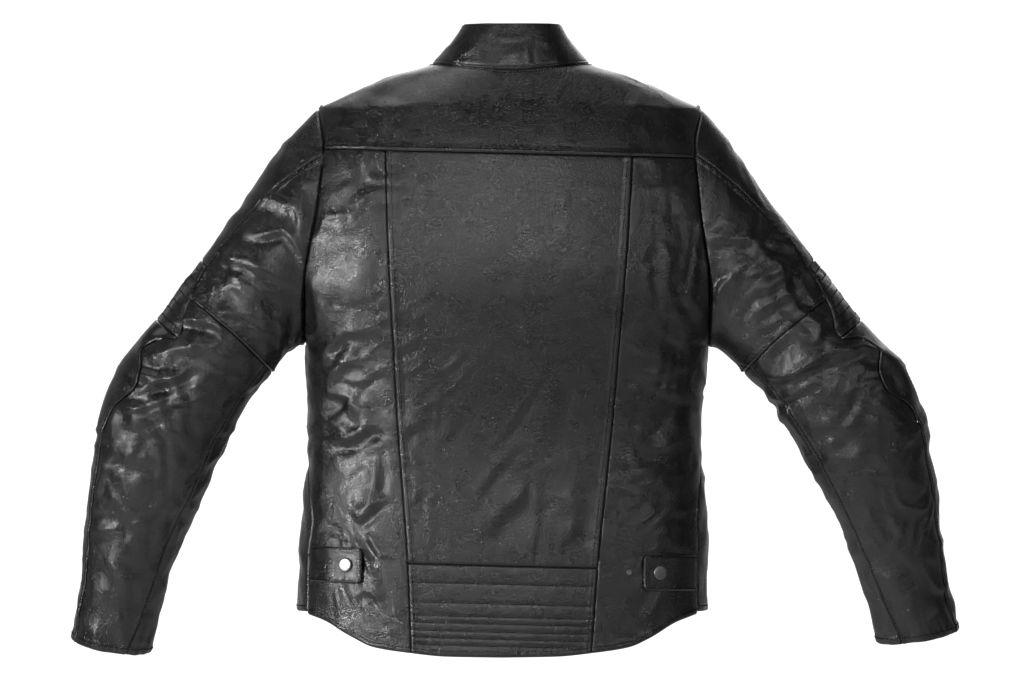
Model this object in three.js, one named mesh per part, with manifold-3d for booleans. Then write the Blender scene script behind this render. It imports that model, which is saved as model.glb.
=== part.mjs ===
// A leather riding jacket as it hangs from its loop, zipped up, with the sleeves a little apart.
// Millimetres, +Z up. -Y is the wearer's back, +Y the front, +X the wearer's right.
// The shell is worked out on two kinds of surface, the torso and the sleeve; each panel is a piece of one.
import * as THREE from "three";
import { mergeVertices } from "three/addons/utils/BufferGeometryUtils.js";
import Module from "manifold-3d";

const wasm = await Module();
wasm.setup();

// ---- Driving sizes ------------------------------------------------------------------------------

// Heights above the lowest point of the tail.
const FRONT_HEM_Z = 50;
const WAIST_Z = 240;
const UNDERARM_Z = 350;
const YOKE_Z = 567; // the seam across the shoulder blades
const SHOULDER_Z = 620; // the tips of the shoulders
const FRONT_NECK_Z = 600;
const SIDE_NECK_Z = 671;
const BACK_NECK_Z = 662;
const RIB_BAND_Z = 103; // the seam above the stitched band over the tail

// Half widths, from the middle of the body.
const HEM_HALF = 232;
const WAIST_HALF = 223;
const UNDERARM_HALF = 228;
const BLADES_HALF = 209; // where the armhole seams come closest, across the shoulder blades
const SHOULDER_HALF = 218;
const NECK_HALF = 90;
const ARM_SWELL = 38; // how far the arm's roundness stands outside the armhole seam

// Depths. The front runs straight from hem to chin, because the zip lies on it.
const FRONT_HEM_Y = 118;
const FRONT_SLOPE = -0.0667;
const BACK_HEM_Y = -108;
const BACK_WAIST_Y = -98;
const BLADES_Y = -118;
const BACK_NECK_Y = -60;
const TORSO_SQUARENESS = 2.45;

// How the jacket hangs out of true.
const LEAN = -0.0155; // the body leans to the wearer's left towards the hem
const SKEW = 0.025; // the cross seams drop towards the wearer's right
const SLEEVE_SWING = 9; // how much further the cuffs lie to the wearer's right than the upper arms
const SLEEVE_LIFT = 5.5; // how much the right cuff hangs higher, and the left one lower

// Collar.
const COLLAR_BACK_TOP_Z = 713;
const COLLAR_SIDE_TOP_Z = 702;
const COLLAR_FRONT_TOP_Z = 652;
const COLLAR_TOP_HALF = 59;
const COLLAR_TOP_BACK_Y = -47;
const COLLAR_WALL = 1.8;
const COLLAR_SQUARENESS = 2.9;

// Sleeves.
const SLEEVE_REACH = 287; // from the shoulder tip out to the cuff's outer corner
const SLEEVE_DROP = 598; // and down to it
const UPPER_DEPTH_HALF = 60;
const ELBOW_DEPTH_HALF = 58;
const CUFF_DEPTH_HALF = 37;
const FORWARD_BEND = 58; // how far the cuff lies in front of the armhole

// Walls and gaps.
const LEATHER = 1.6;
const SEAM = 1.5; // between two panels sewn edge to edge
const LINING_DEPTH = 7.4;
const LINING = 0.8;
const FOAM_DEPTH = LINING_DEPTH + LINING + 3.8;
const FLAP_GAP = 0.6; // between the lining and the storm flap behind it
const FOAM = 9;

// Zips.
const CHAIN_SLOT = 2; // between the two rows of teeth, where the slider's post runs
const CHAIN_WIDTH = 2.4; // of one row
const CHAIN_THICK = 2.6;
const TAPE_HALF = 13;
const TAPE_THICK = 1;
const ZIP_DEPTH = 3.6; // the chain's middle below the leather's face
const ZIP_FIELD_HALF = 7.5; // half the gap between the leather edges beside a zip
const SLIDER_LENGTH = 12;
const SLIDER_HALF = 5.2;
const SLIDER_PLATE = 1.1;
const RUN_GAP = 0.4; // all round a sliding or turning piece
const PULL_WIDTH = 8;
const PULL_THICK = 1.2;
const PULL_LENGTH = 34;
const POCKET_PULL_LENGTH = 24;
const POCKET_ZIP_LENGTH = 150;
const POCKET_LOW = 0.6; // the hand pocket's lower end, as a share of the half width
const POCKET_HIGH = 0.53;
const POCKET_Z = 120;
const CUFF_ZIP_LENGTH = 84;
const CUFF_ZIP_ANGLE = 2.2;
const CUFF_TAPE_HALF = 8.6;

// Waist straps and their snaps.
const STRAP_HEIGHT = 40;
const STRAP_Z = 99;
const STRAP_END_HALF = 157; // from the middle of the body to the strap's free end
const STRAP_WALL = 2.6;
const STRAP_LIFT = 3.8; // underside above the leather where it snaps down
const SNAP_RADIUS = 8;
const SNAP_FROM_END = 17.5;
const SPARE_STUD_SPACING = 33;
const STUD_FLANGE = 4.5;
const STUD_HEAD = 2.6;
const RIVET_RADIUS = 1.6;

// Hanging loop.
const LOOP_WIDTH = 66;
const LOOP_STANDOFF = 14;
const LOOP_STRIP = 8;
const LOOP_THICK = 1.8;
const LOOP_Z = 640;

// ---- Curves -------------------------------------------------------------------------------------

const clamp = (x, low, high) => Math.min(high, Math.max(low, x));
const mix = (a, b, t) => a + (b - a) * t;
const smooth = (t) => clamp(t, 0, 1) ** 2 * (3 - 2 * clamp(t, 0, 1));
const vec = (x, y, z) => new THREE.Vector3(x, y, z);
const degrees = (angle) => (angle * Math.PI) / 180;

// A smooth curve through the points, each [place, value], that never swings past them.
function through(points) {
  const x = points.map((p) => p[0]);
  const y = points.map((p) => p[1]);
  const last = x.length - 1;
  const rise = x.slice(1).map((v, i) => (y[i + 1] - y[i]) / (v - x[i]));
  const slope = x.map((_, i) => {
    if (i === 0) return rise[0];
    if (i === last) return rise[last - 1];
    return rise[i - 1] * rise[i] <= 0 ? 0 : (2 * rise[i - 1] * rise[i]) / (rise[i - 1] + rise[i]);
  });
  return (place) => {
    const p = clamp(place, x[0], x[last]);
    const j = clamp(x.filter((v) => v <= p).length - 1, 0, last - 1);
    const w = x[j + 1] - x[j];
    const t = (p - x[j]) / w;
    const a = y[j] * (1 + 2 * t) * (1 - t) ** 2 + w * slope[j] * t * (1 - t) ** 2;
    const b = y[j + 1] * t * t * (3 - 2 * t) + w * slope[j + 1] * t * t * (t - 1);
    return a + b;
  };
}

// ---- The torso's surface ------------------------------------------------------------------------

const armShare = (share) => mix(UNDERARM_Z, SHOULDER_Z, share);
const frontY = (z) => FRONT_HEM_Y + FRONT_SLOPE * (z - FRONT_HEM_Z);
const middleX = (z) => LEAN * (SHOULDER_Z - z);

const backY = through([
  [0, BACK_HEM_Y],
  [WAIST_Z, BACK_WAIST_Y],
  [mix(UNDERARM_Z, YOKE_Z, 0.38), BLADES_Y],
  [YOKE_Z, mix(BLADES_Y, BACK_NECK_Y, 0.26)],
  [SHOULDER_Z, mix(BLADES_Y, BACK_NECK_Y, 0.58)],
  [BACK_NECK_Z, BACK_NECK_Y],
  [BACK_NECK_Z + 20, BACK_NECK_Y + 10],
]);

const armholeX = through([
  [UNDERARM_Z, UNDERARM_HALF],
  [armShare(0.2), UNDERARM_HALF + 1],
  [armShare(0.6), mix(BLADES_HALF, UNDERARM_HALF, 0.3)],
  [armShare(0.83), BLADES_HALF],
  [SHOULDER_Z, SHOULDER_HALF],
]);

const sideX = through([
  [0, HEM_HALF],
  [WAIST_Z / 2, HEM_HALF],
  [WAIST_Z, WAIST_HALF],
  [UNDERARM_Z, UNDERARM_HALF],
]);

const shoulderX = through([
  [SHOULDER_Z, SHOULDER_HALF],
  [mix(SHOULDER_Z, SIDE_NECK_Z, 0.43), mix(SHOULDER_HALF, NECK_HALF, 0.37)],
  [mix(SHOULDER_Z, SIDE_NECK_Z, 0.7), mix(SHOULDER_HALF, NECK_HALF, 0.62)],
  [SIDE_NECK_Z, NECK_HALF],
  [SIDE_NECK_Z + 12, NECK_HALF - 3],
]);

// Half the torso's width. Between underarm and shoulder it swells out past the armhole seams.
function halfWidth(z) {
  if (z <= UNDERARM_Z) return sideX(z);
  if (z >= SHOULDER_Z) return shoulderX(z);
  const up = (z - UNDERARM_Z) / (SHOULDER_Z - UNDERARM_Z);
  return armholeX(z) + ARM_SWELL * Math.sin(Math.PI * up ** 1.25) ** 0.8;
}

const halfDepth = (z) => (frontY(z) - backY(z)) / 2;
const squareness = (z) => mix(TORSO_SQUARENESS, 2.15, smooth((z - UNDERARM_Z) / (SHOULDER_Z - UNDERARM_Z)));

// A point of a rounded box of half sizes a and b, in the direction of an angle.
function rounded(a, b, n, angle) {
  const c = Math.cos(angle);
  const s = Math.sin(angle);
  const r = (Math.abs(c / a) ** n + Math.abs(s / b) ** n) ** (-1 / n);
  return [r * c, r * s];
}

// A point of the torso's face. Angle 0 is the wearer's right, 90 degrees the front.
function torso(z, angle) {
  const [x, y] = rounded(halfWidth(z), halfDepth(z), squareness(z), angle);
  return vec(middleX(z) + x, frontY(z) - halfDepth(z) + y, z);
}

// The angle at which the torso's face is x from its middle, on the back (-1) or the front (1).
function angleAt(z, x, face) {
  const n = squareness(z);
  const y = halfDepth(z) * Math.max(0, 1 - Math.abs(x / halfWidth(z)) ** n) ** (1 / n);
  return Math.atan2(face * y, x);
}

// How far the angle turns when the face is followed for a distance at one height.
function turnFor(z, angle, distance) {
  const step = 1e-3;
  return (distance * step) / torso(z, angle + step).distanceTo(torso(z, angle));
}

// ---- The sleeves' surface -----------------------------------------------------------------------

// Stations from the armhole to the cuff, as shares of the sleeve's reach and drop: the outer edge
// counted from the shoulder tip, the inner edge from the underarm.
const OUTER_EDGE = [
  [0, 0], [0.111, 0.064], [0.258, 0.166], [0.39, 0.249], [0.512, 0.328], [0.648, 0.415],
  [0.787, 0.493], [0.861, 0.575], [0.902, 0.666], [0.93, 0.756], [0.951, 0.876], [1, 1],
];
const INNER_EDGE = [
  [0, 0], [0.028, 0.001], [0.066, 0.01], [0.111, 0.035], [0.162, 0.065], [0.223, 0.097],
  [0.272, 0.139], [0.338, 0.194], [0.415, 0.268], [0.491, 0.343], [0.578, 0.443], [0.652, 0.574],
];
const CUFF = OUTER_EDGE.length - 1;
const RIBS_START = 3.5; // where the outer side turns from plain leather to ribs
const CROSS_SEAM = 4; // where the upper arm's under side ends
const ELBOW = 5.3; // the elbow's hinge
const FOREARM = 6.4;

const edge = (shares, x0, z0) => [
  through(shares.map((p, i) => [i, x0 + p[0] * SLEEVE_REACH])),
  through(shares.map((p, i) => [i, z0 - p[1] * SLEEVE_DROP])),
];
const [outerX, outerZ] = edge(OUTER_EDGE, SHOULDER_HALF, SHOULDER_Z);
const [innerX, innerZ] = edge(INNER_EDGE, UNDERARM_HALF, UNDERARM_Z);
const armDepth = through([
  [0, UPPER_DEPTH_HALF],
  [3, UPPER_DEPTH_HALF],
  [6, ELBOW_DEPTH_HALF],
  [9, mix(ELBOW_DEPTH_HALF, CUFF_DEPTH_HALF, 0.6)],
  [CUFF, CUFF_DEPTH_HALF],
]);
const forward = through([[0, 0], [4, 0], [6.5, 0.08], [9, 0.5], [CUFF, 1]]);
const armY = frontY(armShare(0.5)) - halfDepth(armShare(0.5));

const armMiddle = (t) =>
  vec((outerX(t) + innerX(t)) / 2, armY + FORWARD_BEND * forward(t), (outerZ(t) + innerZ(t)) / 2);

// The sleeve as an oval tube: angle 0 is its outer edge, 180 degrees the inner one, 90 the front.
function tube(t, angle) {
  const out = vec(outerX(t) - innerX(t), 0, outerZ(t) - innerZ(t)).multiplyScalar(0.5);
  const along = armMiddle(Math.min(CUFF, t + 0.2)).sub(armMiddle(Math.max(0, t - 0.2)));
  const deep = new THREE.Vector3().crossVectors(out, along).normalize();
  if (deep.y < 0) deep.negate();
  deep.lerp(vec(0, 1, 0), clamp(1 - t, 0, 1)).normalize();
  return armMiddle(t)
    .addScaledVector(out, Math.cos(angle))
    .addScaledVector(deep, armDepth(t) * Math.sin(angle));
}

const mirrored = (side, p) => vec(side * p.x, p.y, p.z);

// The armhole seam, on the torso's face.
function armhole(side, angle) {
  const z = armShare((1 + Math.cos(angle)) / 2);
  const about = angleAt(z, armholeX(z), Math.sin(angle) < 0 ? -1 : 1);
  return torso(z, side > 0 ? about : Math.PI - about);
}

// A point of a sleeve's face. Near the armhole the tube is drawn on to the armhole seam.
function sleeve(side, t, angle) {
  const swing = vec(
    mix(-SLEEVE_SWING / 2, SLEEVE_SWING / 2, smooth(t / CUFF)),
    0,
    side * SLEEVE_LIFT * smooth((t - ELBOW) / (CUFF - ELBOW)),
  );
  const p = mirrored(side, tube(t, angle)).add(swing);
  const pull = clamp(1 - t / 2.5, 0, 1) ** 2;
  if (pull === 0) return p;
  const start = mirrored(side, tube(0, angle));
  start.x -= SLEEVE_SWING / 2;
  return p.add(armhole(side, angle).sub(start).multiplyScalar(pull));
}

// How far a station moves on when the sleeve is followed for a distance along one angle.
function stationFor(side, t, angle, distance) {
  const step = t > CUFF / 2 ? -1e-3 : 1e-3;
  return (distance * Math.abs(step)) / sleeve(side, t + step, angle).distanceTo(sleeve(side, t, angle));
}

function sleeveTurnFor(side, t, angle, distance) {
  const step = 1e-3;
  return (distance * step) / sleeve(side, t, angle + step).distanceTo(sleeve(side, t, angle));
}

// ---- Solids -------------------------------------------------------------------------------------

function solidOf(geometry) {
  const plain = new THREE.BufferGeometry().setAttribute("position", geometry.getAttribute("position"));
  if (geometry.index) plain.setIndex(geometry.index);
  const merged = mergeVertices(plain, 1e-3);
  const vertProperties = new Float32Array(merged.attributes.position.array);
  const triVerts = new Uint32Array(merged.index.array);
  return new wasm.Manifold(new wasm.Mesh({ numProp: 3, vertProperties, triVerts }));
}

function geometryOf(solid) {
  const mesh = solid.getMesh();
  return new THREE.BufferGeometry()
    .setAttribute("position", new THREE.BufferAttribute(new Float32Array(mesh.vertProperties), 3))
    .setIndex(new THREE.BufferAttribute(new Uint32Array(mesh.triVerts), 1));
}

// Closes a list of triangles into a geometry, turned so that its faces point outwards.
function closedGeometry(points, faces) {
  const volume = faces.reduce(
    (sum, [a, b, c]) => sum + points[a].dot(new THREE.Vector3().crossVectors(points[b], points[c])),
    0,
  );
  const order = volume < 0 ? faces.map(([a, b, c]) => [a, c, b]) : faces;
  return new THREE.BufferGeometry()
    .setAttribute("position", new THREE.Float32BufferAttribute(points.flatMap((p) => p.toArray()), 3))
    .setIndex(order.flat());
}

// A thin solid between two depths below a face. face(u, v) is the outer point. Its inside is found
// from a point behind it. A wrapped solid closes on itself in u.
function sheet(face, inside, [nu, nv], from, to, wrapped = false) {
  const h = 1e-3;
  const across = (u, v) => face(Math.min(1, u + h), v).sub(face(Math.max(0, u - h), v));
  const along = (u, v) => face(u, Math.min(1, v + h)).sub(face(u, Math.max(0, v - h)));
  const normal = (u, v) => across(u, v).cross(along(u, v)).normalize();
  const out = Math.sign(normal(0.5, 0.5).dot(face(0.5, 0.5).sub(inside)));
  const row = wrapped ? nu : nu + 1;
  const layers = [from, to].map((depth) => {
    const points = [];
    for (let j = 0; j <= nv; j++)
      for (let i = 0; i < row; i++)
        points.push(face(i / nu, j / nv).addScaledVector(normal(i / nu, j / nv), -out * depth));
    return points;
  });
  const at = (i, j, layer) => layer * layers[0].length + j * row + (wrapped ? i % nu : i);
  const faces = [];
  const quad = (a, b, c, d) => faces.push([a, b, c], [a, c, d]);
  for (let j = 0; j < nv; j++)
    for (let i = 0; i < nu; i++) {
      quad(at(i, j, 0), at(i + 1, j, 0), at(i + 1, j + 1, 0), at(i, j + 1, 0));
      quad(at(i, j, 1), at(i, j + 1, 1), at(i + 1, j + 1, 1), at(i + 1, j, 1));
    }
  for (let i = 0; i < nu; i++) {
    quad(at(i, 0, 0), at(i, 0, 1), at(i + 1, 0, 1), at(i + 1, 0, 0));
    quad(at(i, nv, 0), at(i + 1, nv, 0), at(i + 1, nv, 1), at(i, nv, 1));
  }
  for (let j = 0; j < nv && !wrapped; j++) {
    quad(at(0, j, 0), at(0, j + 1, 0), at(0, j + 1, 1), at(0, j, 1));
    quad(at(nu, j, 0), at(nu, j, 1), at(nu, j + 1, 1), at(nu, j + 1, 0));
  }
  return closedGeometry(layers.flat(), faces);
}

const box = (x0, x1, y0, y1, z0, z1) =>
  solidOf(
    new THREE.BoxGeometry(x1 - x0, y1 - y0, z1 - z0).translate((x0 + x1) / 2, (y0 + y1) / 2, (z0 + z1) / 2),
  );

// A turned piece about the local Y axis, from [radius, height] points.
const turned = (profile, segments = 14) =>
  solidOf(new THREE.LatheGeometry(profile.map(([r, h]) => new THREE.Vector2(r, h)), segments));

// A frame on a face: X across, Y out of the garment, Z along.
function frameAt(origin, out, along) {
  const y = out.clone().addScaledVector(along, -out.dot(along) / along.lengthSq()).normalize();
  const z = along.clone().normalize();
  const x = new THREE.Vector3().crossVectors(y, z);
  return new THREE.Matrix4().makeBasis(x, y, z).setPosition(origin);
}

const placed = (solid, frame) => solid.transform(frame.elements);

// ---- Materials and the group --------------------------------------------------------------------

const finish = (color, roughness, metalness) =>
  new THREE.MeshStandardMaterial({ color, roughness, metalness });
const leather = finish(0x1d1d1e, 0.42, 0);
const liningCloth = finish(0x232326, 0.85, 0);
const foamRubber = finish(0x3a3c40, 0.9, 0);
const tapeCloth = finish(0x161617, 0.8, 0);
const metal = finish(0x55565a, 0.32, 1);

const jacket = new THREE.Group();
const root = new THREE.Group();
root.add(jacket);

function add(name, geometry, material) {
  const mesh = new THREE.Mesh(geometry, material);
  mesh.name = name;
  jacket.add(mesh);
}

const SIDES = [["left", -1], ["right", 1]];
const turnedTo = (side, angle) => (side > 0 ? angle : Math.PI - angle);

// ---- Seam lines on the torso --------------------------------------------------------------------

const SIDE_WRAP = 0.21; // the angle by which the side panel reaches round to the back

const hemLine = through([
  [0, 0], [60, 1], [102, 5], [142, 11], [170, 23], [198, 39], [220, 47], [HEM_HALF, FRONT_HEM_Z],
]);
const longSeamX = through([
  [0, 101], [107, 107], [175, 113], [265, 121], [367, 128], [458, 134], [YOKE_Z, 139],
]);

// The side panel reaches behind the side line below the waist and lies in front of it above.
const sideBack = (z) => -SIDE_WRAP * (1 - smooth((z - WAIST_Z + 90) / 110));
const sideFront = (z) => mix(0.3, 0.14, clamp(z / UNDERARM_Z, 0, 1));

function backEdge(z) {
  if (z <= UNDERARM_Z) return sideBack(z);
  return z < SHOULDER_Z ? angleAt(z, armholeX(z), -1) : 0;
}

function frontEdge(z) {
  if (z <= UNDERARM_Z) return sideFront(z);
  if (z >= SHOULDER_Z) return 0;
  return Math.max(sideFront(UNDERARM_Z), angleAt(z, armholeX(z), 1));
}

const fromMiddle = (z, angle) => torso(z, angle).x - middleX(z);
const yokeSeam = (angle) => YOKE_Z - SKEW * fromMiddle(YOKE_Z, angle);
const ribSeam = (angle) => RIB_BAND_Z - SKEW * fromMiddle(RIB_BAND_Z, angle);
const hem = (angle) => (Math.sin(angle) < 0 ? hemLine(Math.abs(fromMiddle(30, angle))) : FRONT_HEM_Z);

// The neck seam's height around the body.
const neckSeam = (angle) => {
  const s = Math.sin(angle);
  return s < 0 ? mix(SIDE_NECK_Z, BACK_NECK_Z, s * s) : mix(SIDE_NECK_Z, FRONT_NECK_Z, s ** 2.4);
};

// A torso panel between two edges, given as angles by height, and two ends, given as heights by
// angle. Each edge stands back from its seam line.
function torsoPanel(first, last, bottom, top, grid, from, to, margin = SEAM / 2) {
  const face = (u, v) => {
    const rough = mix(first(UNDERARM_Z), last(UNDERARM_Z), u);
    const level = mix(bottom(rough), top(rough), v);
    const near = mix(first(level), last(level), u);
    const z = mix(bottom(near) + margin, top(near) - margin, v);
    const a = first(z);
    const b = last(z);
    const way = Math.sign(b - a);
    return torso(z, mix(a + way * turnFor(z, a, margin), b - way * turnFor(z, b, margin), u));
  };
  return sheet(face, vec(0, 0, face(0.5, 0.5).z), grid, from, to);
}

const backHalf = (side, angle) => (side > 0 ? angle : -Math.PI - angle);
const onBack = (side, edgeLine) => (z) => backHalf(side, edgeLine(z));
const onFront = (side, edgeLine) => (z) => turnedTo(side, edgeLine(z));
const longSeam = (z) => angleAt(z, longSeamX(z), -1);
const zipField = (half) => (z) => angleAt(z, half, 1);

// ---- Torso panels -------------------------------------------------------------------------------

const skin = [0, LEATHER];

add(
  "back_yoke",
  torsoPanel(onBack(-1, backEdge), backEdge, yokeSeam, neckSeam, [16, 8], ...skin),
  leather,
);
add(
  "back_centre_panel",
  torsoPanel(onBack(-1, longSeam), longSeam, ribSeam, yokeSeam, [6, 13], ...skin),
  leather,
);
add(
  "back_rib_panel",
  torsoPanel(onBack(-1, longSeam), longSeam, hem, ribSeam, [8, 4], ...skin),
  leather,
);

// The two snap places of a strap on the torso's back, and the frame of each.
const strapZ = (x) => STRAP_Z - SKEW * x;
const snapX = STRAP_END_HALF + SNAP_FROM_END;

function backFrame(side, x) {
  const z = strapZ(side * x);
  const about = backHalf(side, angleAt(z, x, -1));
  const p = torso(z, about);
  const sideways = torso(z, about + 1e-3).sub(torso(z, about - 1e-3));
  const up = torso(z + 0.5, about).sub(torso(z - 0.5, about));
  return frameAt(p, sideways.cross(up), up);
}

for (const [name, side] of SIDES) {
  const back = torsoPanel(
    onBack(side, longSeam), onBack(side, backEdge), hem, yokeSeam, [6, 12], ...skin,
  );
  const rivetHole = turned([[0, -6], [RIVET_RADIUS + RUN_GAP, -6], [RIVET_RADIUS + RUN_GAP, 6], [0, 6]], 12);
  const frames = [snapX, snapX - SPARE_STUD_SPACING].map((x) => backFrame(side, x));
  const drilled = frames.reduce((solid, frame) => solid.subtract(placed(rivetHole, frame)), solidOf(back));
  add(`back_side_panel_${name}`, geometryOf(drilled), leather);
  add(
    `side_panel_${name}`,
    torsoPanel(
      onFront(side, sideBack), onFront(side, sideFront), () => FRONT_HEM_Z, () => UNDERARM_Z, [4, 7], ...skin,
    ),
    leather,
  );
}


// ---- Zips ---------------------------------------------------------------------------------------

// In a zip's frame the chain's middle runs along Z at y = 0 and the face lies ZIP_DEPTH above it.
const sink = (frame) => frame.clone().multiply(new THREE.Matrix4().makeTranslation(0, -ZIP_DEPTH, 0));

// One side of a zip: the tape and its row of teeth, drawn as a bar.
function zipRow(side, z0, z1, tapeHalf = TAPE_HALF) {
  const span = (x0, x1, t) => box(Math.min(x0, x1), Math.max(x0, x1), -t / 2, t / 2, z0, z1);
  const inner = (side * CHAIN_SLOT) / 2;
  return span(inner, side * tapeHalf, TAPE_THICK).add(span(inner, inner + side * CHAIN_WIDTH, CHAIN_THICK));
}

// A closed zip: two rows held together by a stop at each end.
const closedZip = (length, tapeHalf) =>
  zipRow(-1, 0, length, tapeHalf)
    .add(zipRow(1, 0, length, tapeHalf))
    .add(box(-3, 3, -CHAIN_THICK / 2, CHAIN_THICK / 2, 0, 4))
    .add(box(-3, 3, -CHAIN_THICK / 2, CHAIN_THICK / 2, length - 4, length));

const PLATE_Y = CHAIN_THICK / 2 + RUN_GAP;
const BAR_RADIUS = 0.9;
const EYE_HALF = BAR_RADIUS + RUN_GAP;
const EYE_Y = PLATE_Y + SLIDER_PLATE + EYE_HALF; // the middle of the pull's hinge
const BRIDGE_WALL = 0.9;

// The slider: two plates, the post that parts the rows, and a bridge that holds the pull's bar.
function slider() {
  const half = SLIDER_LENGTH / 2;
  const top = PLATE_Y + SLIDER_PLATE;
  const bridge = EYE_HALF + BRIDGE_WALL;
  return box(-SLIDER_HALF, SLIDER_HALF, PLATE_Y, top, -half, half)
    .add(box(-SLIDER_HALF, SLIDER_HALF, -top, -PLATE_Y, -half, half))
    .add(box(-CHAIN_SLOT / 2 + RUN_GAP, CHAIN_SLOT / 2 - RUN_GAP, -top, top, 1, half))
    .add(box(-1.4, 1.4, top - 0.2, EYE_Y + bridge, -bridge, bridge))
    .subtract(box(-2, 2, top, EYE_Y + EYE_HALF, -EYE_HALF, EYE_HALF));
}

// The pull hangs from a bar through the bridge: a frame round the bridge and a flat tab.
function pull(length) {
  const bar = new THREE.CylinderGeometry(BAR_RADIUS, BAR_RADIUS, PULL_WIDTH, 14).rotateZ(Math.PI / 2);
  const drop = (EYE_HALF + BRIDGE_WALL) * Math.SQRT2 + RUN_GAP; // clears the bridge's corners as it swings
  const h = PULL_THICK / 2;
  const w = PULL_WIDTH / 2;
  const arm = (side) =>
    box(Math.min(side * w, side * 2.2), Math.max(side * w, side * 2.2), -h, h, -drop - 1, 1);
  return solidOf(bar)
    .add(arm(-1))
    .add(arm(1))
    .add(box(-w, w, -h, h, -length, -drop))
    .translate([0, EYE_Y, 0]);
}

// ---- Front, with its zips -----------------------------------------------------------------------

// The main zip's frame: its origin on the front's middle line at a height.
function mainFrame(z) {
  const along = vec(-LEAN, FRONT_SLOPE, 1);
  return sink(frameAt(torso(z, Math.PI / 2), vec(0, 1, 0), along));
}

const stretch = Math.hypot(LEAN, FRONT_SLOPE, 1);
const ZIP_BOTTOM = FRONT_HEM_Z + 6;
const ZIP_TOP = COLLAR_FRONT_TOP_Z - 8;
const zipLength = (ZIP_TOP - ZIP_BOTTOM) * stretch;
for (const [name, side] of SIDES) {
  // Seen from inside its frame, X runs to the wearer's left.
  const row = placed(zipRow(-side, 0, zipLength), mainFrame(ZIP_BOTTOM));
  add(`front_zip_tape_${name}`, geometryOf(row), tapeCloth);
}
const parkedZ = ZIP_TOP - 14;
add("front_zip_slider", geometryOf(placed(slider(), mainFrame(parkedZ))), metal);
add("front_zip_pull", geometryOf(placed(pull(PULL_LENGTH), mainFrame(parkedZ))), metal);

// The hand pocket's zip, straight between two points of the front.
function pocketFrame(side) {
  const at = (share, z) => torso(z, turnedTo(side, angleAt(z, share * halfWidth(z), 1)));
  const low = at(POCKET_LOW, POCKET_Z);
  const high = at(POCKET_HIGH, POCKET_Z + POCKET_ZIP_LENGTH);
  const middle = at((POCKET_LOW + POCKET_HIGH) / 2, POCKET_Z + POCKET_ZIP_LENGTH / 2);
  const along = high.clone().sub(low).normalize();
  const across = at((POCKET_LOW + POCKET_HIGH) / 2 + 0.02, middle.z).sub(middle);
  const out = new THREE.Vector3().crossVectors(across, along);
  if (out.y < 0) out.negate();
  const bulge = middle.clone().sub(low.clone().add(high).multiplyScalar(0.5)).dot(out.clone().normalize());
  return frameAt(low.addScaledVector(out.normalize(), bulge / 2), out, along);
}

// What a zip takes out of a panel: the open field, and behind its edges a paring of the curved leather,
// so that the flat tape lies clear of it.
function zipOpening(length, tapeHalf = TAPE_HALF) {
  const clear = tapeHalf + 0.5;
  const field = box(-ZIP_FIELD_HALF, ZIP_FIELD_HALF, -8, 8, -3, length + 3);
  return field.add(box(-clear, clear, -8, 0.8 - ZIP_DEPTH, -1, length + 1));
}

for (const [name, side] of SIDES) {
  const plain = torsoPanel(
    onFront(side, frontEdge), onFront(side, zipField(ZIP_FIELD_HALF)), () => FRONT_HEM_Z, neckSeam,
    [10, 14], ...skin,
  );
  const frame = pocketFrame(side);
  const slotted = solidOf(plain).subtract(placed(zipOpening(POCKET_ZIP_LENGTH), frame));
  add(`front_panel_${name}`, geometryOf(slotted), leather);
  const chain = sink(frame);
  add(`pocket_zip_tape_${name}`, geometryOf(placed(closedZip(POCKET_ZIP_LENGTH), chain)), tapeCloth);
  const parked = chain.clone().multiply(new THREE.Matrix4().makeTranslation(0, 0, POCKET_ZIP_LENGTH - 12));
  add(`pocket_zip_slider_${name}`, geometryOf(placed(slider(), parked)), metal);
  add(`pocket_zip_pull_${name}`, geometryOf(placed(pull(POCKET_PULL_LENGTH), parked)), metal);
}

// ---- Collar -------------------------------------------------------------------------------------

// The collar stands from the neck seam to its own top line.
function collarTop(angle) {
  const s = Math.sin(angle);
  const frontAt = frontY(COLLAR_FRONT_TOP_Z);
  const [x, y] = rounded(COLLAR_TOP_HALF, (frontAt - COLLAR_TOP_BACK_Y) / 2, COLLAR_SQUARENESS, angle);
  const z = s < 0
    ? mix(COLLAR_SIDE_TOP_Z, COLLAR_BACK_TOP_Z, smooth(-s * 1.6))
    : mix(COLLAR_SIDE_TOP_Z, COLLAR_FRONT_TOP_Z, s * s);
  return vec(x + middleX(z), y + (frontAt + COLLAR_TOP_BACK_Y) / 2, z);
}

function collarFace(u, v) {
  const around = (start) => mix(start, -Math.PI - start, u);
  const angle = around(angleAt(FRONT_NECK_Z, ZIP_FIELD_HALF + 0.5, 1));
  const base = torso(neckSeam(angle), angle);
  const topDepth = (frontY(COLLAR_FRONT_TOP_Z) - COLLAR_TOP_BACK_Y) / 2;
  const up = collarTop(around(Math.atan2(topDepth, ZIP_FIELD_HALF + 0.5))).sub(base);
  return base.addScaledVector(up, mix(SEAM / up.length(), 1, v));
}

add("collar", sheet(collarFace, vec(0, 0, SIDE_NECK_Z), [26, 3], 0, COLLAR_WALL), leather);

// ---- Lining, protector and storm flap -----------------------------------------------------------

const lined = [LINING_DEPTH, LINING_DEPTH + LINING];
const above = (line, gap) => (angle) => line(angle) + gap;

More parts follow.
